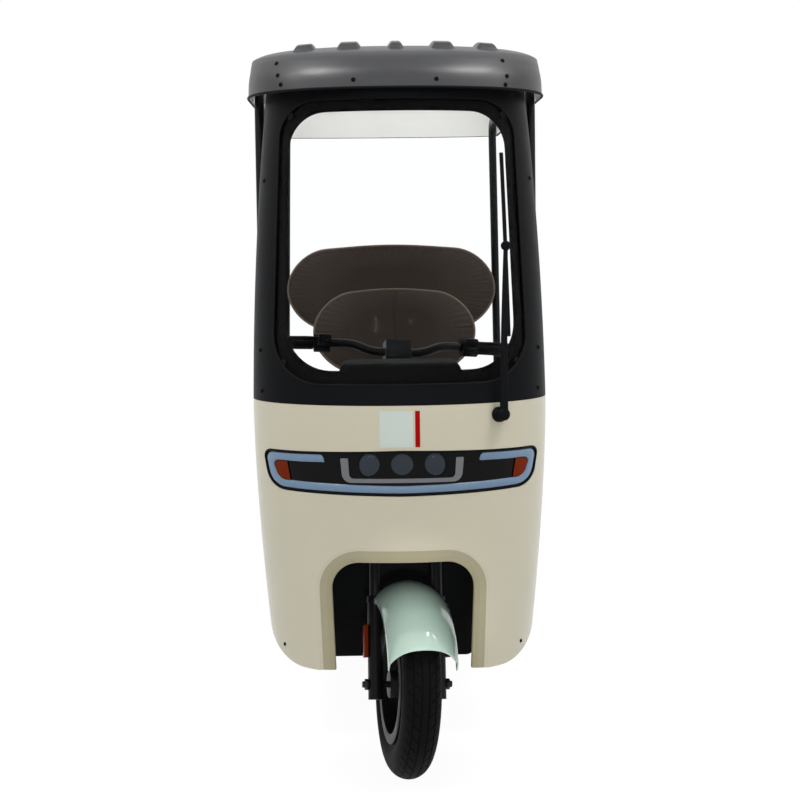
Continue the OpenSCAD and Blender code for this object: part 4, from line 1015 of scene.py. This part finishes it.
@dataclass
class Roof:
    """Moulded roof with a deep visor edge and five ribs."""

    nose_y: float = -0.864
    rear_y: float = 0.800
    half: float = 0.350
    low: float = 1.592
    high: float = 1.723
    front_depth: float = 0.300
    rear_depth: float = 0.060
    power: float = 2.4
    wall: float = 0.006
    rib_height: float = 0.0117
    rib_length: float = 1.180
    rib_slope: float = 0.014
    rib_sunk: float = 0.002
    stations: int = 240
    rows: tuple[tuple[float, float, float, float], ...] = (
        (0, 0, 0, 0), (0.28, 0.012, 0.001, 0.004), (0.48, 0.034, 0.004, 0.010), (0.62, 0.058, 0.006, 0.024),
        (0.72, 0.092, 0.010, 0.056), (0.85, 0.176, 0.044, 0.130), (0.95, 0.290, 0.130, 0.260),
        (1.0, 0.430, 0.250, 0.420), (1.0, 0.560, 0.350, 0.560))
    ribs: tuple[Triple, ...] = (
        (-0.212, 0.058, 0.150), (-0.108, 0.062, 0.120), (0, 0.044, 0.110), (0.108, 0.062, 0.120),
        (0.212, 0.058, 0.150))
    screw_spots: tuple[Flat, ...] = ((-0.273, 1.660), (-0.269, 1.630), (-0.262, 1.608), (-0.097, 1.611),
                                     (0.088, 1.611), (0.250, 1.622), (0.246, 1.602), (0.242, 1.659))

    def row(self, v: float) -> tuple[float, ...]:
        """Height share and insets at a share of the way from the edge to the crown, smoothly joined."""
        spot = v * (len(self.rows) - 1)
        i = min(int(spot), len(self.rows) - 2)
        t = spot - i
        a, b, c, d = (self.rows[max(0, min(len(self.rows) - 1, i + k))] for k in (-1, 0, 1, 2))
        return tuple(0.5 * (2 * q + (r - p) * t + (2 * p - 5 * q + 4 * r - s) * t * t
                            + (3 * q - p - 3 * r + s) * t ** 3) for p, q, r, s in zip(a, b, c, d))

    def rim(self, u: float, v: float) -> Vector:
        """Point round the roof and up its side."""
        share, front, side, rear = self.row(v)
        z, w = self.low + (self.high - self.low) * min(1.0, share), max(0.0, self.half - side)
        half = self.stations // 2 - 1
        k = round(u * self.stations) % self.stations
        hand_front = k <= half
        turn = math.pi * (k / half - 0.5 if hand_front else 0.5 - (k - half - 1) / half)
        depth = self.front_depth - 0.4 * front if hand_front else max(0.004, self.rear_depth - 0.1 * rear)
        s, c = math.sin(turn), max(0.0, math.cos(turn))
        x = math.copysign(abs(s) ** (2 / self.power), s) * w
        back = depth - depth * c ** (2 / self.power)
        return Vector((x, self.nose_y + front + back if hand_front else self.rear_y - rear - back, z))

    def build(self) -> None:
        """Builds the panel, ribs, edge bead and visor screws."""
        piece = Workbench.sheet("roof_shell", self.stations, 56, self.rim)
        with Workbench.editing(piece):
            bpy.ops.mesh.remove_doubles(threshold=MERGE)
        ribs = [self.rib(piece, *rib) for rib in self.ribs]
        piece.data.materials.append(ROOFING.material())
        piece.data.materials.append(LINING.material())
        Workbench.thicken(piece, self.wall, 1)
        Workbench.place(piece, ROOFING, "roof_panel", angle=50, keep_materials=True)
        Workbench.place(Workbench.join("roof_ribs", ribs), ROOFING, angle=50)
        edge = [self.rim(k / self.stations, 0.0) + Vector((0, 0, 0.001)) for k in range(self.stations)]
        bead = Workbench.tube("visor_bead", [edge], 0.0032, 3, ring=True)
        Workbench.place(bead, SOFT_RUBBER, angle=60)
        spots = [self.facing(piece, x, z) for x, z in self.screw_spots]
        Workbench.place(Fasteners.screws("visor_screws", spots), SATIN)

    @staticmethod
    def facing(roof: bpy.types.Object, x: float, z: float) -> Matrix:
        """Frame on the visor, straight behind a point of the front view, whose Z axis points out of it."""
        _, spot, out, _ = roof.ray_cast(Vector((x, -2.0, z)), Vector((0, 1, 0)))
        return Matrix.Translation(spot) @ out.to_track_quat("Z", "Y").to_matrix().to_4x4()

    def rib(self, roof: bpy.types.Object, x: float, width: float, start: float) -> bpy.types.Object:
        """One raised rib that follows the roof.

        Args:
            roof: The roof's outer face.
            x: Middle of the rib.
            width: Width of the rib.
            start: Distance from the roof's nose to the rib's front end.

        Returns:
            The new object.
        """
        def rise(distance: float) -> float:
            """Share of the rib's height at a distance inside its outline."""
            t = max(0.0, min(1.0, distance / self.rib_slope))
            return t * t * (3 - 2 * t)
        spread = [0.0, 0.06, 0.12, 0.18, 0.24, 0.32, 0.5, 0.68, 0.76, 0.82, 0.88, 0.94, 1.0]

        def place(u: float, v: float) -> Vector:
            """Point across and along the rib."""
            across = (spread[round(u * (len(spread) - 1))] - 0.5) * width
            along = self.rib_length * v
            if v < 0.1:
                along = self.rib_length * 0.1 * (v / 0.1) ** 1.5
            inside = min(width / 2 - abs(across), along, self.rib_length - along)
            y = self.nose_y + start + along
            hit, spot, _, _ = roof.ray_cast(Vector((x + across, y, 3.0)), Vector((0, 0, -1)))
            base = spot.z if hit else self.high
            lift = (self.rib_height + self.rib_sunk) * rise(inside) - self.rib_sunk
            return Vector((x + across, y, base + lift))
        piece = Workbench.sheet("roof_rib", len(spread) - 1, 90, place)
        Workbench.thicken(piece, 0.003)
        return piece


@dataclass
class TubeFrame:
    """Roof posts, rails, arm rests and rear bumper, each a bent tube."""

    post_r: float = 0.0125
    rest_r: float = 0.011
    pad_r: float = 0.0165
    bend: float = 0.07

    def mirrored(self, points: Sequence[Sequence[float]]) -> list[list[Vector]]:
        """The bent path and its mirror image."""
        path = Outline.bend(points, self.bend)
        return [path, [Vector((-p.x, p.y, p.z)) for p in path]]

    def build(self) -> None:
        """Builds the tubes."""
        top, rear_top = (0.3292, -0.5067, 1.632), (0.3292, 0.705, 1.632)
        posts = [(0.285, -0.496, 0.3365), (0.300, -0.534, 0.564), (0.316, -0.6787, 0.903), top, rear_top,
                 (0.350, 0.775, 0.6693)]
        main = Workbench.tube("roof_hoops", self.mirrored(posts), self.post_r, 5)
        Workbench.place(main, TUBING, "front_posts", "roof_rails", "rear_posts", angle=50)
        across = [Vector((x, 0.743, 1.108)) for x in (-0.346, 0, 0.346)]
        bar = Workbench.tube("back_bar", [across], self.post_r, 5)
        Workbench.place(bar, TUBING, "back_bar_tube", angle=50)
        arms = [(0.352, 0.358, 0.6683), (0.352, 0.358, 0.846), (0.352, 0.642, 0.846), (0.352, 0.642, 0.6683)]
        rests = Workbench.tube("arm_rest_hoops", self.mirrored(arms), self.rest_r, 5)
        Workbench.place(rests, TUBING, "arm_rests", angle=50)
        lines = [[Vector((hand * 0.352, y, 0.847)) for y in (0.43, 0.5, 0.57)] for hand in (-1, 1)]
        pads = Workbench.tube("arm_rest_pads", lines, self.pad_r, 5)
        Workbench.soften(pads, 0.006, 3, 1.0)
        Workbench.place(pads, SOFT_RUBBER, angle=50)
        Workbench.dress("rear_bumper", TUBING, 0.003, angle=50)


@dataclass
class Pad:
    """One padded piece: crowned face, boxed sides, piping, puckers and sewn channels."""

    name: str
    node: str
    width: float
    height: float
    thick: float
    corner: float
    stand: Matrix
    channels: tuple[float, ...] = ()
    pinch: float = 0.004
    side_pinch: float = 0.004

    def ring(self, inset: float, count: list[int] | None = None) -> list[Flat]:
        """Outline drawn in by a distance, its sides pulled in, or bulged, between the corners."""
        w, h = self.width / 2 - inset, self.height / 2 - inset
        r = max(0.012, min(self.corner - inset, min(w, h) - 0.001))
        points = Outline.even([(w, -h, r), (w, h, r)], 12)
        points = Outline.split(points, count or Outline.counts(points, 0.008))
        return [(x * (1 - self.side_pinch / w * math.cos(math.pi * z / self.height) ** 2),
                 z * (1 - self.pinch / h * math.cos(math.pi * x / self.width) ** 2)) for x, z in points]

    def sewn(self, x: float) -> float:
        """Depth of the sewn channels at a place across the pad."""
        return sum(0.006 * math.exp(-((x - c) / 0.006) ** 2) for c in self.channels)

    def build(self) -> None:
        """Builds the pad and its piping."""
        t, seam = self.thick, self.thick * 0.72
        w, h = self.width / 2, self.height / 2
        counts = Outline.counts(Outline.even([(w, -h, self.corner), (w, h, self.corner)], 12), 0.005)
        edge = self.ring(0.003, counts)
        walls = [(0.05, 0.0), (0.012, 0.0), (0.008, 0.001), (0.005, 0.004), (0.003, 0.010),
                 (0.002, seam * 0.3), (0.0015, seam * 0.5), (0.002, seam * 0.7), (0.003, seam - 0.010),
                 (0.005, seam - 0.004), (0.0075, seam)]
        shares = [0.985, 0.97] + [0.95 - 0.95 * k / 32 for k in range(33)]
        n = len(edge)
        rings = [([(0.0, 0.0)] * n, 0.0, None)] + [(self.ring(g, counts), d, None) for g, d in walls]
        rings += [(edge, 0.0, k) for k in shares]

        def place(u: float, v: float) -> Vector:
            """Point round the pad and from its back to the middle of its face."""
            i, j = round(u * n) % n, round(v * (len(rings) - 1))
            points, depth, share = rings[j]
            x, z = points[i]
            pucker = math.sin(i * 1.9) * math.sin(i * 0.37 + 1.3) * 0.0011
            if share is None:
                return self.stand @ Vector((x, z, depth + pucker * depth / t))
            crown = 1 - share ** 2.6
            x, z = x * share, z * share
            height = seam + (t - seam) * min(1.0, crown * 1.25) ** 0.72 + pucker * (share ** 6) * 1.6
            return self.stand @ Vector((x, z, height - self.sewn(x) * (1 - share ** 8)))
        piece = Workbench.sheet(self.name, n, len(rings) - 1, place, closed=True)
        Workbench.place(piece, LEATHER, self.node, angle=80)
        cord = [self.stand @ Vector((x, z, seam + 0.001)) for x, z in self.ring(0.0055)]
        Workbench.place(Workbench.tube(self.name + "_piping", [cord], 0.0036, 3, ring=True), PIPING, angle=80)


class Seats:
    """The four padded pieces."""

    def build(self) -> None:
        """Builds the pads."""
        upright = Matrix.Rotation(math.pi / 2, 4, "X")
        leaning = Matrix.Rotation(math.radians(-8), 4, "X") @ Matrix.Translation((0, 0.039, 0)) @ upright
        Pad("driver_seat_pad", "driver_cushion", 0.430, 0.330, 0.092, 0.070,
            Matrix.Translation((0, -0.160, 0.6106)), (-0.085, 0.085)).build()
        Pad("bench_seat_pad", "bench_cushion", 0.660, 0.364, 0.092, 0.070,
            Matrix.Translation((0, 0.480, 0.6683)), (-0.165, 0.0, 0.165)).build()
        Pad("driver_back_pad", "driver_back", 0.446, 0.218, 0.078, 0.108,
            Matrix.Translation((0, 0.027, 1.002)) @ leaning, (0.0,), -0.014, -0.006).build()
        Pad("bench_back_pad", "bench_back", 0.660, 0.254, 0.078, 0.126,
            Matrix.Translation((0, 0.7298, 1.105)) @ upright, (), -0.016, -0.006).build()


@dataclass
class Cabin:
    """Leg shield, column, dash, floor and seat box."""

    # Black sheet behind the front wheel: painted shade that hides the floor seen through the wheel opening.
    shade_sheet_half: float = 0.185
    shade_sheet_z: Flat = (0.216, 0.3137)
    shade_sheet_y: Flat = (-0.508, -0.505)
    mat_width: float = 0.50
    mat_z: float = 0.3232
    mat_wall: float = 0.0028
    mat_rib: float = 0.0022
    mat_ribs: int = 32
    mats: tuple[Flat, ...] = ((-0.43, -0.30), (0.03, 0.295))
    dial_spot: Triple = (0, -0.766, 0.925)
    dial_tilt: float = math.radians(-53)

    def build(self) -> None:
        """Dresses the mouldings and adds the floor mats, the dial and the black sheet behind the wheel that
        stands in for shade.
        """
        for node, edge in (("leg_shield", 0.003), ("column_shroud", 0.012), ("dash_shelf", 0.002),
                           ("instrument_hood", 0.008), ("driver_seat_box", 0.008), ("floor_pan", 0.001)):
            Workbench.dress(node, CABIN, edge, steps=3)
        Workbench.dress("driver_back_straps", TUBING, 0.002, angle=35)
        Workbench.dress("side_sills", CREAM, 0.0)
        self.mat()
        self.dial()
        self.shade_sheet()

    def shade_sheet(self) -> None:
        """Builds the black rubber sheet behind the front wheel, painted shade that hides the floor seen
        through the wheel opening.
        """
        low, top = self.shade_sheet_z
        outline = Outline.even([(self.shade_sheet_half, low, 0.02), (self.shade_sheet_half, top, 0)])
        Workbench.place(Workbench.prism("arch_shade_sheet", outline, *self.shade_sheet_y), SOFT_RUBBER)

    def mat(self) -> None:
        """Builds the ribbed rubber mats on the driver and passenger floors."""
        mats = []
        for y0, y1 in self.mats:
            def place(u: float, v: float) -> Vector:
                """Point across the mat, with its ribs running along the vehicle."""
                ribbed = math.sin(u * math.tau * self.mat_ribs) > 0.1 and 0.02 < v < 0.98
                z = self.mat_z + (self.mat_rib if ribbed else 0.0)
                return Vector(((u - 0.5) * self.mat_width, y0 + (y1 - y0) * v, z))
            piece = Workbench.sheet("floor_mat", 8 * self.mat_ribs, 24, place)
            Workbench.thicken(piece, self.mat_wall)
            mats.append(piece)
        Workbench.place(Workbench.join("floor_mats", mats), SOFT_RUBBER)

    def dial(self) -> None:
        """Builds the round instrument on the slope of the hood that faces the driver."""
        spot = Matrix.Translation(self.dial_spot) @ Matrix.Rotation(self.dial_tilt, 4, "X")
        ring = [(0.052, -0.012), (0.052, 0.004), (0.050, 0.007), (0.046, 0.007), (0.043, 0.002),
                (0.043, -0.012)]
        face = [(0, -0.012), (0.043, -0.012), (0.043, 0.0005), (0.030, 0.0022), (0.015, 0.003), (0, 0.0032)]
        Workbench.place(Workbench.turned("dial_ring", ring, spot, 64), SILVER)
        Workbench.place(Workbench.turned("dial_face", face, spot, 64), LENS, angle=50)


@dataclass
class RearBody:
    """Rear tub with its lamps, hatch and hatch pull."""

    hatch_half: float = 0.17
    hatch_z: Flat = (0.35, 0.63)
    hatch_y: Flat = (0.9902, 0.9935)
    hatch_corner: float = 0.03
    pull_half: float = 0.045
    pull_y: Flat = (0.992, 1.008)
    pull_z: float = 0.585

    def build(self) -> None:
        """Dresses the tub and its lamps, and adds the hatch and its pull."""
        for node, finish, edge in (("rear_body", CREAM, 0.006), ("tail_lamps", RED, 0.005)):
            Workbench.dress(node, finish, edge, steps=3, soft=50)
        corners = [(self.hatch_half, z, self.hatch_corner) for z in self.hatch_z]
        hatch = Workbench.prism("rear_hatch", Outline.even(corners), *self.hatch_y)
        Workbench.soften(hatch, 0.002, 3, 0.8)
        Workbench.place(hatch, CREAM)
        half, (foot, grip), z = self.pull_half, self.pull_y, self.pull_z
        path = Outline.bend([(-half, foot, z), (-half, grip, z), (half, grip, z), (half, foot, z)], 0.012)
        Workbench.place(Workbench.tube("hatch_pull", [path], 0.0055, 4), SATIN, angle=50)


@dataclass
class Steering:
    """Fork, mudguard and handlebar, which turn together."""

    axle: Triple = (0.0, -0.785, 0.218)
    rake: float = math.radians(18)
    offset: float = 0.062
    turn: float = math.radians(10)
    guard_r: float = 0.244
    guard_half: float = 0.080
    guard_arc: float = 0.094
    guard_drop: float = 0.058
    guard_wall: float = 0.004
    cheek: float = 0.86
    lip: float = math.radians(13)
    lip_lift: float = math.radians(2)
    lip_curve: float = math.radians(9)
    sweep: float = math.radians(92)

    def head(self) -> Matrix:
        """Frame whose Z axis runs up the steering axis."""
        return (Matrix.Translation(self.axle) @ Matrix.Rotation(-self.rake, 4, "X")
                @ Matrix.Translation((0, self.offset, 0)) @ Matrix.Rotation(self.turn, 4, "Z"))

    def hub(self) -> Matrix:
        """Frame at the front axle, X along the axle."""
        return self.head() @ Matrix.Translation((0, -self.offset, 0))

    def mudguard(self) -> None:
        """Builds the mudguard with a curved lip and pointed cheeks."""
        hub = self.hub()
        edge = self.guard_r - self.guard_arc + math.sqrt(self.guard_arc ** 2 - self.guard_half ** 2)
        foot = self.guard_r - self.guard_drop

        def section(s: float) -> Flat:
            """Offset and radius across the guard, s from -1 to 1."""
            if abs(s) > self.cheek:
                down = (abs(s) - self.cheek) / (1 - self.cheek)
                return (math.copysign(self.guard_half, s), edge - (edge - foot) * down)
            t = s / self.cheek * math.asin(self.guard_half / self.guard_arc)
            return (self.guard_arc * math.sin(t), self.guard_r - self.guard_arc * (1 - math.cos(t)))

        def place(u: float, v: float) -> Vector:
            """Point across the guard and back over the wheel."""
            s = 2 * u - 1
            x, r = section(s)
            front = self.lip - self.lip_curve * abs(s) ** 3 + self.lip_lift
            angle = front + (self.lip + self.sweep - front) * v
            return hub @ Vector((x, -r * math.cos(angle), r * math.sin(angle)))
        piece = Workbench.sheet("mudguard_shell", 60, 70, place)
        Workbench.thicken(piece, self.guard_wall)
        Workbench.soften(piece, 0.0016, 2, 1.0)
        Workbench.place(piece, MINT, "front_mudguard", body=Body.STEERING, angle=50)

    def bar(self) -> None:
        """Builds the handlebar tube."""
        half = [(0.332, 0.046, 0.846), (0.112, 0.0, 0.839), (0.066, 0.0, 0.818)]
        points = half + [(-x, y, z) for x, y, z in reversed(half)]
        path = [self.head() @ p for p in Outline.bend(points, 0.03)]
        tube = Workbench.tube("handlebar_tube", [path], 0.011, 5)
        Workbench.place(tube, TUBING, "handlebar", body=Body.STEERING, angle=50)

    def build(self) -> None:
        """Dresses the steering body."""
        self.mudguard()
        self.bar()
        for node, edge, finish in (("steering_stem", 0.003, CASTING), ("fork_sliders", 0.002, TUBING),
                                   ("front_brake_plate", 0.0015, CASTING), ("bar_clamp", 0.004, CASTING),
                                   ("hand_grips", 0.003, SOFT_RUBBER), ("control_housings", 0.003, SATIN),
                                   ("fork_reflectors", 0.002, AMBER), ("front_axle", 0.001, DARK_STEEL)):
            Workbench.dress(node, finish, edge, Body.STEERING)


@dataclass
class Wheel:
    """One tyre with road tread on its rim."""

    name: str
    body: Body
    hub: Matrix
    crown: float = 0.218
    section: float = 0.045
    bead: float = 0.1273
    bead_half: float = 0.037
    bead_rise: float = 0.008
    pitches: int = 44
    sipe_depth: float = 0.0017
    lean: float = 0.022

    def build(self) -> None:
        """Builds the tyre and dresses the rim."""
        half = [(-125, 0, 0), (-112, 0, 0), (-101, 0, 0), (-100, -0.0007, 0), (-97, -0.0007, 0), (-96, 0, 0),
                (-84, 0, 0), (-72, 0, 0), (-64, 0, 0), (-58, 0, 0), (-55, 0, 1), (-46, 0, 1), (-37, 0, 1),
                (-36, 0.002, 1), (-33, 0.002, 1), (-32, 0, 1), (-24, 0, 1), (-16, 0, 1), (-13, 0, 0),
                (-12, 0.002, 0), (-9, 0.002, 0), (-8, 0, 0)]
        rows = half + [(0, 0, 0)] + [(-a, d, m) for a, d, m in reversed(half)]
        middle = self.crown - self.section
        steps = [(0.0, 0), (0.03, 1), (0.10, 1), (0.13, 0), (0.35, 0), (0.57, 0), (0.78, 0), (0.92, 0)]
        wide, inner, outer = self.bead_half, self.bead, self.bead + self.bead_rise
        beads = [(-wide, outer), (-wide, inner), (wide, inner), (wide, outer)]
        total = len(rows) + len(beads)

        def place(u: float, v: float) -> Vector:
            """Point round the tyre and across its section."""
            k = round(u * self.pitches * len(steps))
            share, sipe = steps[k % len(steps)]
            j = round(v * total) % total
            skew = 0.0
            if j < len(rows):
                angle, groove, mask = rows[j]
                depth = max(groove, self.sipe_depth * sipe * mask)
                r = middle + (self.section - depth) * math.cos(math.radians(angle))
                x = (self.section - depth) * math.sin(math.radians(angle))
                skew = self.lean * max(0, abs(angle) - 8) * (1 if abs(angle) < 60 else 60 / abs(angle))
            else:
                x, r = beads[len(beads) - 1 - (j - len(rows))]
            turn = math.tau * (k // len(steps) + share + skew) / self.pitches
            return self.hub @ Vector((x, r * math.sin(turn), r * math.cos(turn)))
        columns = self.pitches * len(steps)
        tyre = Workbench.sheet(self.name + "_tyre_tread", columns, total, place, closed=True)
        Workbench.place(tyre, TYRE, self.name + "_tyre", body=self.body, angle=30)
        Workbench.dress(self.name + "_rim", RIM, 0.0015, self.body, angle=35)
        valve = self.hub @ Matrix.Rotation(0.6, 4, "X") @ Matrix.Translation((0.012, 0, 0.116))
        stem = [(0, -0.012), (0.0045, -0.012), (0.0042, 0.0), (0.003, 0.002), (0.003, 0.006), (0, 0.006)]
        tilt = valve @ Matrix.Rotation(math.radians(100), 4, "Y")
        Workbench.place(Workbench.turned(self.name + "_valve", stem, tilt, 16), BRASS, body=self.body)


class Underframe:
    """Solids of the frame that keep their shape and take a finish."""

    # The wheel well plate and liners are underseal black, darkened further as painted shade of the wheel
    # housing.
    finishes = {
        "frame_rails": TUBING, "frame_members": TUBING, "steering_neck": TUBING,
        "wheel_well_plate": UNDERSEAL_AND_SHADE, "rear_well_liners": UNDERSEAL_AND_SHADE, "tow_eye": TUBING, "battery_pack": CASE,
        "rear_axle": CASTING, "leaf_springs": TUBING, "fork_tubes": DARK_STEEL}

    def build(self) -> None:
        """Gives each solid its finish."""
        for node, finish in self.finishes.items():
            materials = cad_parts[node].data.materials
            materials.clear()
            materials.append(finish.material())
            LOG.info("%s: dressed in %s", node, finish.name)


@dataclass
class Studio:
    """Camera, lights, pale floor and white surroundings."""

    camera_spot: Triple = (-0.061, -4.495, 1.242)
    pitch: float = math.radians(84.55)
    yaw: float = math.radians(-0.95)
    roll: float = math.radians(-0.6)
    lens: float = 72.7
    ambient: float = 0.5

    def seen(self, nodes: bpy.types.Nodes, links: bpy.types.NodeLinks) -> bpy.types.NodeSocket:
        """Socket that is 1 for what the camera sees, straight or by reflection or through glass."""
        path = nodes.new("ShaderNodeLightPath")
        first, second = (nodes.new("ShaderNodeMath") for _ in range(2))
        first.operation = second.operation = "MAXIMUM"
        links.new(path.outputs["Is Camera Ray"], first.inputs[0])
        links.new(path.outputs["Is Glossy Ray"], first.inputs[1])
        links.new(first.outputs[0], second.inputs[0])
        links.new(path.outputs["Is Transmission Ray"], second.inputs[1])
        return second.outputs[0]

    def camera(self) -> None:
        """Sets the camera where the photograph was taken from."""
        aim = (Matrix.Rotation(self.yaw, 3, "Z") @ Matrix.Rotation(self.pitch, 3, "X")
               @ Matrix.Rotation(self.roll, 3, "Z")).to_euler()
        bpy.ops.object.camera_add(location=self.camera_spot, rotation=aim)
        camera = bpy.context.object
        camera.data.lens = self.lens
        camera.data.sensor_width = 36.0
        bpy.context.scene.camera = camera

    def world(self) -> None:
        """Makes even white surroundings."""
        world = bpy.data.worlds.new("studio")
        bpy.context.scene.world = world
        world.use_nodes = True
        nodes, links = world.node_tree.nodes, world.node_tree.links
        spread = nodes.new("ShaderNodeMapRange")
        spread.inputs["To Min"].default_value = self.ambient
        spread.inputs["To Max"].default_value = 1.0
        links.new(self.seen(nodes, links), spread.inputs["Value"])
        links.new(spread.outputs["Result"], nodes["Background"].inputs["Strength"])
        nodes["Background"].inputs["Color"].default_value = (1, 1, 1, 1)

    def floor(self) -> None:
        """Lays the pale floor, which keeps the shadow."""
        bpy.ops.object.select_all(action="DESELECT")
        bpy.ops.mesh.primitive_plane_add(size=30.0)
        floor = bpy.context.object
        floor.name = "studio_floor"
        paint = bpy.data.materials.new("pale_floor")
        paint.use_nodes = True
        nodes, links = paint.node_tree.nodes, paint.node_tree.links
        nodes["Principled BSDF"].inputs["Base Color"].default_value = (0.85, 0.85, 0.85, 1)
        nodes["Principled BSDF"].inputs["Roughness"].default_value = 0.9
        glow = nodes.new("ShaderNodeEmission")
        glow.inputs["Strength"].default_value = 1.06
        share = nodes.new("ShaderNodeMath")
        share.operation = "MULTIPLY"
        share.inputs[1].default_value = 0.9
        links.new(self.seen(nodes, links), share.inputs[0])
        mix = nodes.new("ShaderNodeMixShader")
        links.new(share.outputs[0], mix.inputs[0])
        links.new(nodes["Principled BSDF"].outputs[0], mix.inputs[1])
        links.new(glow.outputs[0], mix.inputs[2])
        links.new(mix.outputs[0], nodes["Material Output"].inputs["Surface"])
        floor.data.materials.append(paint)

    def softbox(self, name: str, spot: Triple, size: float, power: float, mirrored: bool = True,
                aim: Triple = (0, -0.3, 0.9)) -> None:
        """Adds one square soft light.

        Args:
            name: Name of the light.
            spot: Its place.
            size: Length of its side.
            power: Its power in watts.
            mirrored: Shows it in glossy surfaces.
            aim: Point that it faces, the middle of the vehicle unless given.
        """
        bpy.ops.object.light_add(type="AREA", location=spot)
        lamp = bpy.context.object
        lamp.name = lamp.data.name = name
        lamp.data.size = size
        lamp.data.energy = power
        lamp.visible_glossy = mirrored
        lamp.visible_camera = lamp.visible_transmission = False
        lamp.rotation_euler = (Vector(aim) - Vector(spot)).to_track_quat("-Z", "Y").to_euler()

    def arch_spot(self) -> None:
        """Adds the narrow light that reaches the mudguard inside the wheel opening."""
        spot = Vector((0.1, -4.4, 0.7))
        bpy.ops.object.light_add(type="SPOT", location=spot)
        lamp = bpy.context.object
        lamp.name = lamp.data.name = "arch_light"
        lamp.data.energy = 480
        lamp.data.spot_size = math.radians(4.6)
        lamp.data.spot_blend = 0.9
        lamp.data.shadow_soft_size = 0.1
        lamp.visible_glossy = False
        lamp.rotation_euler = (Vector((0.02, -0.85, 0.43)) - spot).to_track_quat("-Z", "Y").to_euler()

    def build(self) -> None:
        """Builds the studio."""
        bpy.context.scene.view_settings.view_transform = "Standard"
        self.camera()
        self.world()
        self.floor()
        self.softbox("top_light", (0.0, -0.8, 4.6), 2.4, 8, mirrored=False)
        self.softbox("front_light", (0.2, -6.0, 0.9), 1.8, 34, mirrored=False)
        for hand, power in ((1, 22), (-1, 19)):
            self.softbox("ceiling_light", (hand * 1.5, -1.4, 4.0), 1.0, power * 3.0)
            self.softbox("shoulder_light", (hand * 2.2, -1.2, 3.2), 0.7, power * 0.5)
        self.softbox("lining_light", (0.0, 0.1, 1.3), 0.5, 3.8, mirrored=False, aim=(0, 0.1, 1.7))
        self.arch_spot()
        for x in (-0.8, 0.4):
            self.softbox("glint_light", (x, -4.5, 2.65), 0.08, 4)
        for column in range(5):
            self.softbox("dot_light", ((column - 2) * 0.36, -3.2, 3.3), 0.08, 0.8)


def main() -> None:
    """Builds every sub-assembly."""
    logging.basicConfig(level=logging.INFO, format="%(message)s")
    steering = Steering()
    rear = {hand: Matrix.Translation((hand * 0.310, 0.635, 0.218)) for hand in (1, -1)}
    parts = [Studio(), FrontCowl(), LAMP, Windscreen(), Roof(), TubeFrame(), Seats(), Cabin(), RearBody(),
             steering, Wheel("front", Body.FRONT_WHEEL, steering.hub()),
             Wheel("rear_left", Body.REAR_LEFT, rear[1]), Wheel("rear_right", Body.REAR_RIGHT, rear[-1]),
             Underframe()]
    for part in parts:
        LOG.info("building %s", type(part).__name__)
        part.build()
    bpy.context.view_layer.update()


if __name__ == "__main__":
    main()
